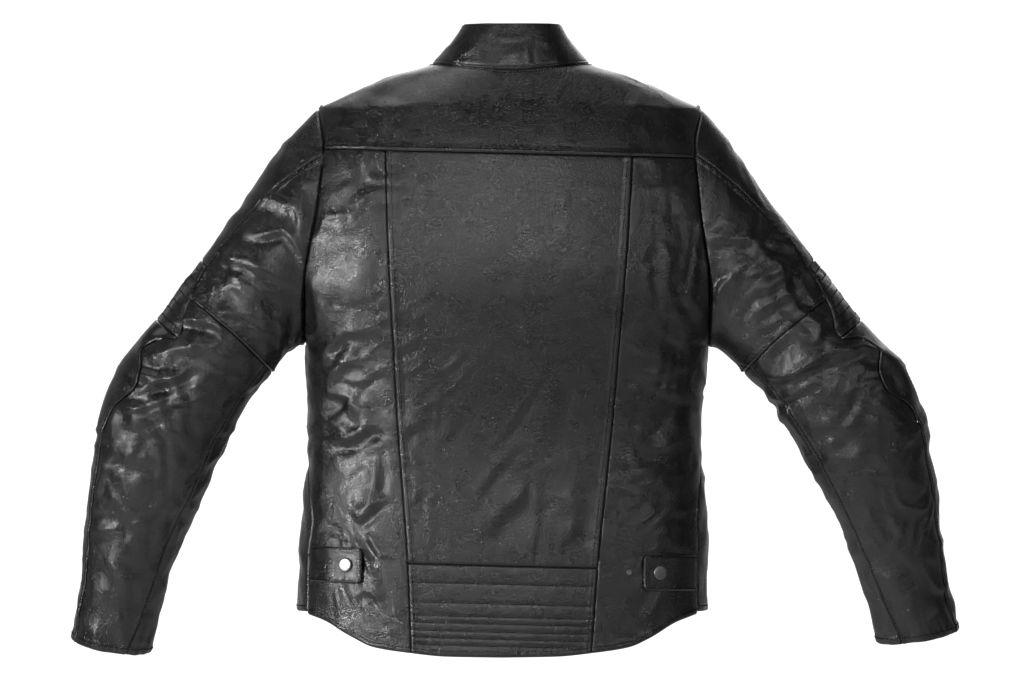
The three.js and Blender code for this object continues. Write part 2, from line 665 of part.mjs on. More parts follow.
// The back lining reaches round the side to the front one, and narrows to the armhole at the top.
const liningEdge = (z) =>
  z > UNDERARM_Z ? backEdge(z) : sideFront(z) * (1 - smooth((z - UNDERARM_Z + 60) / 60));
add(
  "lining_back",
  torsoPanel(
    onBack(-1, liningEdge), liningEdge, above(hem, 14), above(neckSeam, -4), [16, 12], ...lined, 8,
  ),
  liningCloth,
);
for (const [name, side] of SIDES)
  add(
    `lining_front_${name}`,
    torsoPanel(
      onFront(side, frontEdge),
      onFront(side, zipField(TAPE_HALF + 4)),
      () => FRONT_HEM_Z + 14,
      (angle) => Math.min(neckSeam(angle) - 4, SHOULDER_Z - 12),
      [10, 12], ...lined, 8,
    ),
    liningCloth,
  );
add(
  "back_protector",
  torsoPanel(
    onBack(-1, (z) => angleAt(z, longSeamX(z) * 0.9, -1)),
    (z) => angleAt(z, longSeamX(z) * 0.9, -1),
    () => RIB_BAND_Z + 40,
    above(yokeSeam, -20),
    [6, 8], FOAM_DEPTH, FOAM_DEPTH + FOAM,
  ),
  foamRubber,
);
const flapTop = ZIP_DEPTH - LINING_DEPTH - LINING - FLAP_GAP;
const flapZ = [8, (FRONT_NECK_Z - 20 - ZIP_BOTTOM) * stretch];
add(
  "storm_flap",
  geometryOf(placed(box(-14, 30, flapTop - LEATHER, flapTop, ...flapZ), mainFrame(ZIP_BOTTOM))),
  leather,
);

// The pocket bags hang inside the lining, behind the pocket zips.
for (const [name, side] of SIDES)
  add(
    `pocket_bag_${name}`,
    torsoPanel(
      onFront(side, (z) => angleAt(z, POCKET_LOW * halfWidth(z) + 30, 1)),
      onFront(side, (z) => angleAt(z, 44, 1)),
      () => POCKET_Z - 26,
      () => POCKET_Z + POCKET_ZIP_LENGTH + 6,
      [6, 6], FOAM_DEPTH, FOAM_DEPTH + 1.2,
    ),
    liningCloth,
  );

// ---- Waist straps and snaps ---------------------------------------------------------------------

for (const [name, side] of SIDES) {
  const rootX = (z) => {
    const angle = sideBack(z) - turnFor(z, sideBack(z), 5);
    return Math.abs(fromMiddle(z, angle));
  };
  const strapFace = (u, v) => {
    const x = mix(rootX(STRAP_Z), STRAP_END_HALF, u);
    const z = strapZ(side * x) + (v - 0.5) * STRAP_HEIGHT;
    const about = backHalf(side, angleAt(z, x, -1));
    const sideways = torso(z, about + 1e-3).sub(torso(z, about - 1e-3));
    const out = sideways.cross(vec(0, 0, 1)).normalize();
    if (out.dot(torso(z, about).sub(vec(0, 0, z))) < 0) out.negate();
    return torso(z, about).addScaledVector(out, mix(0.5, STRAP_LIFT, smooth(u / 0.45)) + STRAP_WALL);
  };
  const strap = solidOf(sheet(strapFace, vec(0, 0, STRAP_Z), [10, 4], 0, STRAP_WALL));
  const frame = backFrame(side, snapX);
  const hole = turned([[0, -2], [RIVET_RADIUS + RUN_GAP, -2], [RIVET_RADIUS + RUN_GAP, 12], [0, 12]], 12);
  add(`waist_strap_${name}`, geometryOf(strap.subtract(placed(hole, frame))), leather);

  const under = STRAP_LIFT - 0.4;
  const over = STRAP_LIFT + STRAP_WALL + 0.4;
  const cap = turned([
    [0, under - 0.6], [STUD_HEAD + 0.5, under - 0.6], [STUD_HEAD + 0.5, 1.4], [STUD_FLANGE + 0.5, 1.4],
    [STUD_FLANGE + 0.5, under], [RIVET_RADIUS, under], [RIVET_RADIUS, over], [SNAP_RADIUS, over],
    [SNAP_RADIUS, over + 0.6], [SNAP_RADIUS - 0.7, over + 1.4], [SNAP_RADIUS - 2.4, over + 1.8],
    [0, over + 1.9],
  ]);
  add(`snap_cap_${name}`, geometryOf(placed(cap, frame)), metal);

  const inner = -LEATHER - 0.4;
  const stud = [
    [0, inner - 0.8], [STUD_FLANGE, inner - 0.8], [STUD_FLANGE, inner], [RIVET_RADIUS, inner],
    [RIVET_RADIUS, 0.3], [STUD_FLANGE, 0.3], [STUD_FLANGE, 0.9], [STUD_HEAD - 0.7, 0.9],
    [STUD_HEAD - 0.7, 1.3], [STUD_HEAD, 1.5], [STUD_HEAD, 1.9], [STUD_HEAD - 0.5, 2.3], [0, 2.3],
  ];
  add(`snap_stud_${name}`, geometryOf(placed(turned(stud), frame)), metal);
  const spare = backFrame(side, snapX - SPARE_STUD_SPACING);
  add(`spare_stud_${name}`, geometryOf(placed(turned(stud), spare)), metal);
}

// ---- Hanging loop -------------------------------------------------------------------------------

// A strip bowed off the inside of the neck, its ends sewn flat against the lining.
const loopEndY = backY(LOOP_Z + LOOP_STRIP / 2) + (LINING_DEPTH + LINING) * 1.2 + LOOP_THICK + 1;
const loopFace = (u, v) => {
  const x = middleX(LOOP_Z) + (u - 0.5) * LOOP_WIDTH;
  const bow = LOOP_STANDOFF * smooth((Math.min(u, 1 - u) - 0.14) / 0.3);
  return vec(x, loopEndY + bow, LOOP_Z + (v - 0.5) * LOOP_STRIP);
};
add("hanging_loop", sheet(loopFace, vec(0, 0, LOOP_Z), [16, 1], -LOOP_THICK / 2, LOOP_THICK / 2), leather);

// ---- Sleeves ------------------------------------------------------------------------------------

// The seams along the sleeve, as angles by station. The back ones are negative.
const topSeam = through([[0, 53], [1, 48], [2, 37], [3, 31], [4, 26], [CUFF, 26]]);
const topSeamBack = (t) => -degrees(topSeam(t));
const topSeamFront = (t) => degrees(topSeam(t));
const innerSeam = through([[5, 150], [6, 147], [8, 142], [10, 133], [CUFF, 116]]);
const innerSeamBack = (t) => -degrees(innerSeam(t));

// A sleeve panel between two seam angles and two stations, standing back from its seams.
function sleevePanel(side, first, last, t0, t1, grid, from, to, margin = SEAM / 2) {
  const face = (u, v) => {
    const rough = mix(t0, t1, v);
    const near = mix(first(rough), last(rough), u);
    const start = t0 + stationFor(side, t0, near, margin);
    const end = t1 - stationFor(side, t1, near, margin);
    const t = mix(start, end, v);
    const a = first(t) + sleeveTurnFor(side, t, first(t), margin);
    const b = last(t) - sleeveTurnFor(side, t, last(t), margin);
    return sleeve(side, t, mix(a, b, u));
  };
  const middle = mirrored(side, armMiddle((t0 + t1) / 2));
  return sheet(face, middle, grid, from, to);
}

// A lining tube inside a sleeve.
function sleeveTube(side, t0, t1, grid, from, to) {
  const face = (u, v) => sleeve(side, mix(t0, t1, v), u * 2 * Math.PI);
  return sheet(face, mirrored(side, armMiddle((t0 + t1) / 2)), grid, from, to, true);
}

const wholeTurn = 2 * Math.PI;

// The cuff's zip, straight from just above the cuff's edge.
function cuffFrame(side) {
  const at = (t, turn = 0) => sleeve(side, t, CUFF_ZIP_ANGLE + turn);
  const low = at(CUFF - stationFor(side, CUFF, CUFF_ZIP_ANGLE, 4));
  const high = at(CUFF - stationFor(side, CUFF, CUFF_ZIP_ANGLE, 4 + CUFF_ZIP_LENGTH));
  const along = high.clone().sub(low);
  const middle = CUFF - stationFor(side, CUFF, CUFF_ZIP_ANGLE, 4 + CUFF_ZIP_LENGTH / 2);
  const out = at(middle, 1e-3).sub(at(middle, -1e-3)).cross(along);
  if (out.y < 0) out.negate();
  const bulge = at(middle).sub(low.clone().add(high).multiplyScalar(0.5)).dot(out.normalize());
  return frameAt(low.addScaledVector(out, Math.min(0, bulge)), out, along);
}

for (const [name, side] of SIDES) {
  const panel = (part, ...rest) => add(`${part}_${name}`, sleevePanel(side, ...rest), leather);
  const later = (line) => (t) => line(t) + wholeTurn;
  panel("top_sleeve", topSeamBack, topSeamFront, 0, RIBS_START, [5, 6], ...skin);
  panel("under_sleeve", topSeamFront, later(topSeamBack), 0, CROSS_SEAM, [12, 6], ...skin);
  panel("elbow_outer_panel", topSeamBack, topSeamFront, RIBS_START, FOREARM, [4, 5], ...skin);
  panel("elbow_inner_panel", topSeamFront, later(topSeamBack), CROSS_SEAM, FOREARM, [12, 4], ...skin);
  panel("forearm_back_panel", innerSeamBack, topSeamBack, FOREARM, CUFF, [6, 6], ...skin);
  const front = sleevePanel(side, topSeamBack, later(innerSeamBack), FOREARM, CUFF, [9, 6], ...skin);
  const frame = cuffFrame(side);
  const slotted = solidOf(front).subtract(placed(zipOpening(CUFF_ZIP_LENGTH, CUFF_TAPE_HALF), frame));
  add(`forearm_front_panel_${name}`, geometryOf(slotted), leather);
  const chain = sink(frame);
  const cuffZip = closedZip(CUFF_ZIP_LENGTH, CUFF_TAPE_HALF);
  add(`cuff_zip_tape_${name}`, geometryOf(placed(cuffZip, chain)), tapeCloth);
  const parked = chain.clone().multiply(new THREE.Matrix4().makeTranslation(0, 0, 12));
  add(`cuff_zip_slider_${name}`, geometryOf(placed(slider(), parked)), metal);
  const liner = (part, ...rest) => add(`${part}_${name}`, sleeveTube(side, ...rest, ...lined), liningCloth);
  liner("sleeve_lining", 0.35, CROSS_SEAM - 0.05, [14, 5]);
  liner("forearm_lining", FOREARM + 0.1, CUFF - 0.3, [14, 4]);
  const pad = (part, ...rest) =>
    add(`${part}_${name}`, sleevePanel(side, ...rest, FOAM_DEPTH, FOAM_DEPTH + FOAM), foamRubber);
  const padAngle = (a) => () => degrees(a);
  pad("shoulder_protector", padAngle(-42), padAngle(42), 0.5, 3, [6, 5]);
  pad("elbow_protector", padAngle(-95), padAngle(5), 5.1, 8, [6, 5]);
}

// The object's origin is where a peg carries the hanging loop: its lower edge, in the middle.
jacket.position.set(-middleX(LOOP_Z), -loopEndY - LOOP_STANDOFF, LOOP_STRIP / 2 - LOOP_Z);

export default root;
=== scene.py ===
"""A leather riding jacket, seen from the back: its shell, linings, zips, straps and stitching."""

import bpy
import numpy as np
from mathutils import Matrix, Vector


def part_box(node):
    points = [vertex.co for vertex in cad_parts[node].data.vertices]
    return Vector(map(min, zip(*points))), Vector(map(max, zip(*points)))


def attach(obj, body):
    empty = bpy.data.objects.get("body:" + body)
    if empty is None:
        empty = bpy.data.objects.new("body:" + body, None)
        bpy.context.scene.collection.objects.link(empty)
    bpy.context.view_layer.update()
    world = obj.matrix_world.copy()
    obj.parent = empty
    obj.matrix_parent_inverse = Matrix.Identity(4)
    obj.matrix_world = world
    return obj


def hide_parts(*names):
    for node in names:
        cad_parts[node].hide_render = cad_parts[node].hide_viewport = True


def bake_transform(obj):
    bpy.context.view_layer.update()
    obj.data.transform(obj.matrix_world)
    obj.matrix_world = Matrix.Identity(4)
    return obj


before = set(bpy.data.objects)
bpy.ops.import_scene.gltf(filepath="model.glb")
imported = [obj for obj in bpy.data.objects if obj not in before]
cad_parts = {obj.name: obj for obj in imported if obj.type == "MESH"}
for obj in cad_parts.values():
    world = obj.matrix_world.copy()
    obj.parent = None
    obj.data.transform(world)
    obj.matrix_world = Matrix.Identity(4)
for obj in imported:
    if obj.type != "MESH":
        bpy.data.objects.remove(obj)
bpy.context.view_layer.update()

# ---- Studio ---------------------------------------------------------------------------------------
# The jacket hangs in the air in front of pure white, and is seen level from straight behind. A soft
# key light shines on the back, small lamps from both sides draw the shine, and two large ones light
# the shoulders and the front.

picture = bpy.context.scene
picture.view_settings.view_transform = "Standard"

eye = bpy.data.cameras.new("camera")
eye.lens = 311.25
eye_at = bpy.data.objects.new("camera", eye)
eye_at.location = (0.002, -10.0, -0.2805)
eye_at.rotation_euler = (np.pi / 2, 0, 0)
picture.collection.objects.link(eye_at)
picture.camera = eye_at

air = bpy.data.worlds.new("white")
air.use_nodes = True
picture.world = air
air_nodes, air_links = air.node_tree.nodes, air.node_tree.links
seen_air = air_nodes.new("ShaderNodeBackground")
seen_air.inputs["Strength"].default_value = 1.2
seen_air.inputs["Color"].default_value = (1, 1, 1, 1)
lit_air = air_nodes["Background"]
lit_air.inputs["Color"].default_value = (1, 1, 1, 1)


def ranged(tree, value, *span):
    """A value scaled from the span's first two numbers to its last two."""
    node = tree.nodes.new("ShaderNodeMapRange")
    for key, number in zip(("From Min", "From Max", "To Min", "To Max"), span):
        node.inputs[key].default_value = number
    tree.links.new(value, node.inputs["Value"])
    return node.outputs["Result"]


air_way = air_nodes.new("ShaderNodeSeparateXYZ")
air_links.new(air_nodes.new("ShaderNodeTexCoord").outputs["Generated"], air_way.inputs[0])
air_links.new(ranged(air.node_tree, air_way.outputs["Y"], 0.1, 0.95, 0.05, 0.5), lit_air.inputs["Strength"])
which_ray = air_nodes.new("ShaderNodeLightPath")
either_air = air_nodes.new("ShaderNodeMixShader")
air_links.new(which_ray.outputs["Is Camera Ray"], either_air.inputs[0])
air_links.new(lit_air.outputs[0], either_air.inputs[1])
air_links.new(seen_air.outputs[0], either_air.inputs[2])
air_links.new(either_air.outputs[0], air_nodes["World Output"].inputs["Surface"])


def lamp(name, place, target, width, height, power):
    """A rectangular soft light that faces a point."""
    light = bpy.data.lights.new(name, "AREA")
    light.shape, light.size, light.size_y, light.energy = "RECTANGLE", width, height, power
    holder = bpy.data.objects.new(name, light)
    holder.location = place
    holder.rotation_euler = (Vector(target) - Vector(place)).to_track_quat("-Z", "Y").to_euler()
    picture.collection.objects.link(holder)


lamp("key", (-0.15, -3.6, 0.9), (0, 0, -0.2), 1.7, 1.5, 42)
lamp("hard_left", (-2.4, -2.0, -0.1), (-0.15, 0, -0.3), 0.24, 0.34, 66)
lamp("low_left", (-2.6, -1.5, -0.3), (-0.2, 0, -0.35), 0.3, 0.9, 6)
lamp("fill", (2.4, -3.0, 0.3), (0, 0, -0.3), 0.3, 0.5, 12)
lamp("overhead", (-0.5, 0.3, 3.2), (0, 0, -0.2), 2.4, 1.6, 40)
lamp("front", (0.6, 4.4, 1.8), (0, 0, -0.3), 3.4, 2.4, 42)


def finish(name):
    """A new material, with its node tree, its shader and the object's own coordinates."""
    material = bpy.data.materials.new(name)
    material.use_nodes = True
    tree = material.node_tree
    place = tree.nodes.new("ShaderNodeTexCoord").outputs["Object"]
    return material, tree, tree.nodes["Principled BSDF"], place


FLOOR_Z, FLOOR_HALF = -1.7, 9
floor_mesh = bpy.data.meshes.new("floor")
floor_corners = [(x * FLOOR_HALF, y * FLOOR_HALF, FLOOR_Z) for x, y in ((-1, -1), (1, -1), (1, 1), (-1, 1))]
floor_mesh.from_pydata(floor_corners, [], [(0, 1, 2, 3)])
floor = bpy.data.objects.new("floor", floor_mesh)
picture.collection.objects.link(floor)
pale, tree, shader, place = finish("pale_floor")
shader.inputs["Base Color"].default_value = (0.86, 0.86, 0.85, 1)
shader.inputs["Roughness"].default_value = 0.8
shader.inputs["Emission Color"].default_value = (1, 1, 1, 1)
glow = tree.nodes.new("ShaderNodeMath")
glow.operation = "MULTIPLY"
glow.inputs[1].default_value = 0.6
tree.links.new(tree.nodes.new("ShaderNodeLightPath").outputs["Is Camera Ray"], glow.inputs[0])
tree.links.new(glow.outputs[0], shader.inputs["Emission Strength"])
floor_mesh.materials.append(pale)

# ---- Pattern: the torso ---------------------------------------------------------------------------
# The shell is cut from black cowhide about 1.2 mm thick. Every body panel is a patch of one rounded
# trunk, measured in millimetres from the tail's lowest point, level with the middle of the body.

LOOP_AT = np.array([-0.31, 44.18, -636.0])  # the object's origin is at the hanging loop


def curve(*points):
    """A cubic through the points that never swings past them: harmonic-mean slopes, Hermite pieces."""
    x, y = np.array(points, float).T
    rise = np.diff(y) / np.diff(x)
    slope = np.empty_like(y)
    slope[0], slope[-1] = rise[0], rise[-1]
    a, b = rise[:-1], rise[1:]
    slope[1:-1] = np.where(a * b > 0, 2 * a * b / np.where(a + b == 0, 1, a + b), 0)

    def value(at):
        at = np.clip(at, x[0], x[-1])
        j = np.clip(np.searchsorted(x, at, side="right") - 1, 0, len(x) - 2)
        w = x[j + 1] - x[j]
        t = (at - x[j]) / w
        low = y[j] * (1 + 2 * t) * (1 - t) ** 2 + w * slope[j] * t * (1 - t) ** 2
        return low + y[j + 1] * t * t * (3 - 2 * t) + w * slope[j + 1] * t * t * (t - 1)

    return value


def mix(a, b, t):
    """A straight change from a to b."""
    return a + (b - a) * t


def smooth(t):
    """The smoothstep 3 t^2 - 2 t^3, held at 0 and 1 outside."""
    t = np.clip(t, 0, 1)
    return t * t * (3 - 2 * t)


UNDERARM, YOKE, SHOULDER, SIDE_NECK, BACK_NECK, FRONT_NECK = 350, 567, 620, 671, 662, 600  # heights
SHOULDER_HALF, UNDERARM_HALF, HEM_HALF = 218, 228, 232
FRONT_HEM = 50
FRONT_Y = 118  # the front at its hem
LEAN_LEFT, LEAN_BACK = 0.0155, 0.0667  # for each millimetre of height
BLADES = -118

back_y = curve((0, -108), (240, -98), (432.5, BLADES), (YOKE, -102.9), (SHOULDER, -84.4),
               (BACK_NECK, -60), (682, -50))
armhole_x = curve((UNDERARM, UNDERARM_HALF), (404, 229), (512, 214.7), (574, 209), (SHOULDER, SHOULDER_HALF))
side_x = curve((0, HEM_HALF), (120, HEM_HALF), (240, 223), (UNDERARM, UNDERARM_HALF))
shoulder_x = curve((SHOULDER, SHOULDER_HALF), (642, 170.6), (655.7, 138.6), (SIDE_NECK, 90), (683, 87))


def front_y(z):
    """The front leans straight back from hem to chin, because the zip lies along it."""
    return FRONT_Y - LEAN_BACK * (z - FRONT_HEM)


def middle_x(z):
    """The body leans to the wearer's left towards the hem."""
    return -LEAN_LEFT * (SHOULDER - z)


def half_width(z):
    """Half the trunk's width; between underarm and shoulder it swells out past the armhole seams."""
    up = np.clip((z - UNDERARM) / (SHOULDER - UNDERARM), 0, 1)
    swell = 38 * np.clip(np.sin(np.pi * up**1.25), 0, 1) ** 0.8
    return np.where(z < UNDERARM, side_x(z), np.where(z < SHOULDER, armhole_x(z) + swell, shoulder_x(z)))


def half_depth(z):
    """Half the way from the back to the front."""
    return (front_y(z) - back_y(z)) / 2


def squareness(z):
    """The superellipse's power: boxy at the hem, rounder at the shoulders."""
    return mix(2.45, 2.15, smooth((z - UNDERARM) / (SHOULDER - UNDERARM)))


def rounded(a, b, n, angle):
    """The point of the superellipse |x/a|^n + |y/b|^n = 1 in the direction of an angle."""
    c, s = np.cos(angle), np.sin(angle)
    r = (np.abs(c / a) ** n + np.abs(s / b) ** n) ** (-1 / n)
    return r * c, r * s


def torso(z, angle):
    """The trunk at a height and an angle, which is 0 at the wearer's right and a quarter turn in front."""
    x, y = rounded(half_width(z), half_depth(z), squareness(z), angle)
    return np.stack(np.broadcast_arrays(middle_x(z) + x, front_y(z) - half_depth(z) + y, z), -1)


def angle_at(z, x, face):
    """The angle at which the trunk is x from its middle, on its back (-1) or front (1)."""
    n = squareness(z)
    y = half_depth(z) * np.clip(1 - np.abs(x / half_width(z)) ** n, 0, 1) ** (1 / n)
    return np.arctan2(face * y, x)


# ---- Leather: its creases, edges and seams --------------------------------------------------------
# Hide creases in soft folds of many sizes. At a seam the panels roll under to each other, and a
# lapped and topstitched edge stands a little proud.


def hashed(i, j, k, seed):
    """A repeatable value between 0 and 1 for each lattice corner."""
    n = (i * 374761393 + j * 668265263 + k * 1274126177 + seed * 974634777) & 0x7FFFFFFF
    n = ((n ^ (n >> 13)) * 1103515245) & 0x7FFFFFFF
    return ((n ^ (n >> 16)) & 0xFFFF) / 65535.0


def noise(p, size, seed):
    """Smooth value noise from -1 to 1, blended between lattice corners a size apart."""
    q = p / size
    cell = np.floor(q).astype(np.int64)
    f = q - cell
    f = f * f * f * (f * (f * 6 - 15) + 10)
    total = 0
    for a in (0, 1):
        for b in (0, 1):
            for c in (0, 1):
                w = (f[..., 0] if a else 1 - f[..., 0]) * (f[..., 1] if b else 1 - f[..., 1])
                w = w * (f[..., 2] if c else 1 - f[..., 2])
                total = total + w * hashed(cell[..., 0] + a, cell[..., 1] + b, cell[..., 2] + c, seed)
    return total * 2 - 1


def hide(p, seed=11):
    """The hide's own unevenness in millimetres: the sum of broad hollows, billows, fine creases and flat
    facets, which are triangular waves of four headings. It is calm in the middle of the back and
    livelier over the flanks and sleeves."""
    warp = np.stack([noise(p, 46, seed + 1), noise(p, 46, seed + 2), noise(p, 46, seed + 3)], -1)
    q = p + 18 * warp
    lively = smooth((np.abs(p[..., 0]) - 110) / 60) + 0.6 * smooth((np.abs(p[..., 0]) - 235) / 30)
    broad = noise(q, 90, seed + 4) * (1.1 + 0.9 * lively)
    billow = (0.5 - np.abs(noise(q * [1, 1, 1.25], 38, seed + 5))) * (0.5 + 1.5 * lively)
    small = (0.5 - np.abs(noise(q + 7 * warp, 15, seed + 8))) * 0.42 * lively
    crease = -np.exp(-((noise(q * [1, 1, 1.5], 31, seed + 6) / 0.05) ** 2)) * 0.18 * lively
    facets = 0
    for heading, size in ((0.45, 43), (1.35, 57), (2.3, 36), (2.9, 25)):
        across = (q[..., 0] + 0.5 * q[..., 1]) * np.cos(heading) + q[..., 2] * np.sin(heading)
        wave = np.abs((across / size + 0.9 * noise(p, 70, seed + 9)) % 1 - 0.5) - 0.25
        facets = facets + wave * size / 12 * smooth(noise(p, 64, seed + 10 + size) * 2.2)
    crease = crease * smooth(noise(p, 60, seed + 7) * 4 + 0.6)
    return broad + billow + small + crease + facets * (0.12 + 0.8 * lively)


def draped(p, drapes):
    """Single folds along bent lines in the x-z plane: a ridge whose left side, seen along its line, falls
    softly and whose right side drops into a hollow. Each is (height, width, point, point, ...) and
    tapers to nothing at its ends."""
    flat = p[..., [0, 2]].reshape(-1, 2)
    total = np.zeros(len(flat))
    for height, width, *points in drapes:
        at = np.linspace(0, len(points) - 1, 48)
        line = np.stack([curve(*[(i, c[k]) for i, c in enumerate(points)])(at) for k in (0, 1)], -1)
        near = ((flat > line.min(0) - 4 * width) & (flat < line.max(0) + 4 * width)).all(1)
        if not near.any():
            continue
        gap = flat[near][:, None] - line[None]
        k = (gap**2).sum(-1).argmin(1)
        tangent = np.gradient(line, axis=0)
        tangent /= np.linalg.norm(tangent, axis=-1, keepdims=True)
        gap = gap[np.arange(len(k)), k]
        s = (tangent[k, 0] * gap[:, 1] - tangent[k, 1] * gap[:, 0]) / width
        beyond = np.abs((tangent[k] * gap).sum(-1)) / width
        share = k / 47
        taper = smooth(np.minimum(share, 1 - share) / 0.3) * np.exp(-(beyond**2))
        ridge = np.where(s > 0, np.exp(-(np.abs(s / 1.3) ** 1.35)), np.exp(-(np.abs(s / 0.6) ** 1.5)))
        total[near] += height * taper * (ridge - 0.55 * np.exp(-(((s + 1.35) / 0.75) ** 2)))
    return total.reshape(p.shape[:-1])


def folds(p, groups):
    """Soft folds. Each is a bent ridge in the x-z plane, with a narrow crest and a hollow on one side,
    that fades out towards its ends. A group is (x, z, spread x, spread z, heading, scatter,
    count, length, width, height, seed)."""
    total = np.zeros(p.shape[:-1])
    x, z = p[..., 0], p[..., 2]
    for cx, cz, sx, sz, heading, scatter, count, length, width, height, seed in groups:
        rng = np.random.default_rng(seed)
        for _ in range(count):
            ox, oz = cx + sx * rng.uniform(-1, 1), cz + sz * rng.uniform(-1, 1)
            a = np.radians(heading + scatter * rng.uniform(-1, 1))
            long, wide = length * rng.uniform(0.55, 1.15), width * rng.uniform(0.6, 1.4)
            tall, bend = height * rng.uniform(0.5, 1.3), rng.uniform(-0.35, 0.35)
            along = (x - ox) * np.cos(a) + (z - oz) * np.sin(a)
            across = -(x - ox) * np.sin(a) + (z - oz) * np.cos(a)
            s = along / long
            across = across - bend * long * (s * s)
            reach = np.clip(1 - s * s, 0, 1) ** 1.5
            foot = np.exp(-(((across + wide * 1.5) / (wide * 0.7)) ** 2))
            total += tall * reach * (np.exp(-(np.abs(across / wide) ** 1.45)) - 0.55 * foot)
    return total


def stepped(length, step, *ends):
    """Places from 0 to 1 along a length, closer together near both ends and about their stitches."""
    near = []
    for kind, stitch in ends:
        places = {0, 0.35, 0.8, 1.4, 2.2, 3.2, 4.4}
        for d in np.atleast_1d(stitch):
            if d:
                places |= {d - 1.5, d - 0.75, d, d + 0.75, d + 1.5, d + 3}
        near.append(sorted(x for x in places if x >= 0))
    low, high = near[0], near[1]
    inner = np.linspace(low[-1], length - high[-1], max(3, round((length - low[-1] - high[-1]) / step)))
    places = np.concatenate([low[:-1], inner, length - np.array(high[:-1])[::-1]]) / length
    return places[np.concatenate([[True], np.diff(places) > 0.12 / length])]


def distances(p):
    """How far each point of a grid lies from the first and last column and row, along the grid."""
    across = np.linalg.norm(np.diff(p, axis=1), axis=-1)
    down = np.linalg.norm(np.diff(p, axis=0), axis=-1)
    u = np.concatenate([np.zeros((len(p), 1)), np.cumsum(across, 1)], 1)
    v = np.concatenate([np.zeros((1, p.shape[1])), np.cumsum(down, 0)], 0)
    return u, u[:, -1:] - u, v, v[-1:] - v


def normals(p, inside):
    """Unit normals of a grid of points, turned away from a point inside."""
    n = np.cross(np.gradient(p, axis=1), np.gradient(p, axis=0))
    n /= np.linalg.norm(n, axis=-1, keepdims=True) + 1e-12
    middle = tuple(s // 2 for s in p.shape[:2])
    return n * np.sign(np.dot(n[middle], p[middle] - inside))


def seam(d, kind, stitch, s, seed):
    """The height of a panel's edge at a distance d from its seam. "under" rolls down into the seam;
    "over" is lapped, so a band stands proud with needle grooves at the stitch distances and puckers
    along s; "gathered" puckers more and further; "hem" is a turned edge with a groove; "deep" drops into
    the armhole."""
    if kind == "deep":
        return -2.6 * np.exp(-((d / 2.0) ** 2)) - 1.2 * np.exp(-d / 9)
    roll = -1.3 * np.exp(-((d / 1.1) ** 2))
    if kind == "under":
        return roll - 0.5 * np.exp(-d / 5)
    wave = np.sin(s / 1.2 + 3 * np.sin(s / 17 + seed)) * (0.6 + 0.4 * np.sin(s / 31 + 2 * seed))
    rows = np.atleast_1d(stitch)
    total = roll + (0.7 if kind == "hem" else 0.95) * smooth((rows[-1] + 3.5 - d) / 4)
    reach, pull = (9, 0.5) if kind == "gathered" else (4.5, 0.18)
    for row in rows:
        total = total + pull * wave * np.exp(-(((d - row) / reach) ** 2))
        total = total - 0.4 * np.exp(-(((d - row) / 0.9) ** 2))
    return total


def new_piece(name, points, faces, material, soft=True):
    """A piece at the origin, from points in millimetres and the faces between them."""
    mesh = bpy.data.meshes.new(name)
    mesh.from_pydata(((points + LOOP_AT) * 0.001).tolist(), [], faces)
    mesh.polygons.foreach_set("use_smooth", np.full(len(mesh.polygons), soft))
    mesh.materials.append(material)
    piece = bpy.data.objects.new(name, mesh)
    picture.collection.objects.link(piece)
    return piece


def sheet_mesh(name, p, inside, material, wall=1.3, wrap=False, keep=None):
    """A grid of points in millimetres as a mesh of quads facing away from a point inside, with a wall
    on its inner side. Quads whose corners aren't all kept are left out."""
    rows, cols = p.shape[:2]
    n = normals(p, inside)
    flip = np.dot(np.cross(p[1, 0] - p[0, 0], p[0, 1] - p[0, 0]), n[0, 0]) > 0
    index = np.arange(rows * cols).reshape(rows, cols)
    if wrap:
        index = np.concatenate([index, index[:, :1]], 1)
    a, b, c, d = index[:-1, :-1], index[:-1, 1:], index[1:, 1:], index[1:, :-1]
    quads = np.stack([a, d, c, b] if flip else [a, b, c, d], -1).reshape(-1, 4)
    points = p.reshape(-1, 3)
    if keep is not None:
        quads = quads[keep.reshape(-1)[quads].all(1)]
        used = np.unique(quads)
        quads, points = np.searchsorted(used, quads), points[used]
    piece = new_piece(name, points, quads.tolist(), material)
    if wall:
        thick = piece.modifiers.new("wall", "SOLIDIFY")
        thick.thickness = wall * 0.001
        thick.offset = -1
    return piece


def between(first, last, low, high, u, v, place):
    """A grid of points of a face between two edge lines and two end lines. The edges give an angle for
    each height or station, the ends give a height or station for each angle."""
    u, v = np.meshgrid(u, v)
    guess = 0 * v + 300  # the rounds below correct it
    angle = mix(first((low(first(guess)) + high(first(guess))) / 2 + 0 * v), last(guess), u)
    for _ in range(4):
        at = mix(low(angle), high(angle), v)
        angle = mix(first(at), last(at), u)
    return place(at, angle)


def texture(tree, place, kind, scale, detail=0.0):
    """A texture of one scale at given coordinates."""
    node = tree.nodes.new(kind)
    node.inputs["Scale"].default_value = scale
    if detail:
        node.inputs["Detail"].default_value = detail
    tree.links.new(place, node.inputs["Vector"])
    return node


def bumped(tree, height, distance, strength, under=None):
    """The normal that a height gives, added to the one under it."""
    node = tree.nodes.new("ShaderNodeBump")
    node.inputs["Distance"].default_value = distance
    node.inputs["Strength"].default_value = strength
    tree.links.new(height, node.inputs["Height"])
    if under is not None:
        tree.links.new(under, node.inputs["Normal"])
    return node.outputs["Normal"]


def two_tone(tree, shader, pattern, colour, dark, bright):
    """A colour that wanders between a darker and a brighter tone of itself, as a pattern says."""
    tint = tree.nodes.new("ShaderNodeMix")
    tint.data_type = "RGBA"
    tint.inputs[6].default_value = (*[c * dark for c in colour], 1)
    tint.inputs[7].default_value = (*[c * bright for c in colour], 1)
    tree.links.new(pattern, tint.inputs[0])
    tree.links.new(tint.outputs[2], shader.inputs["Base Color"])


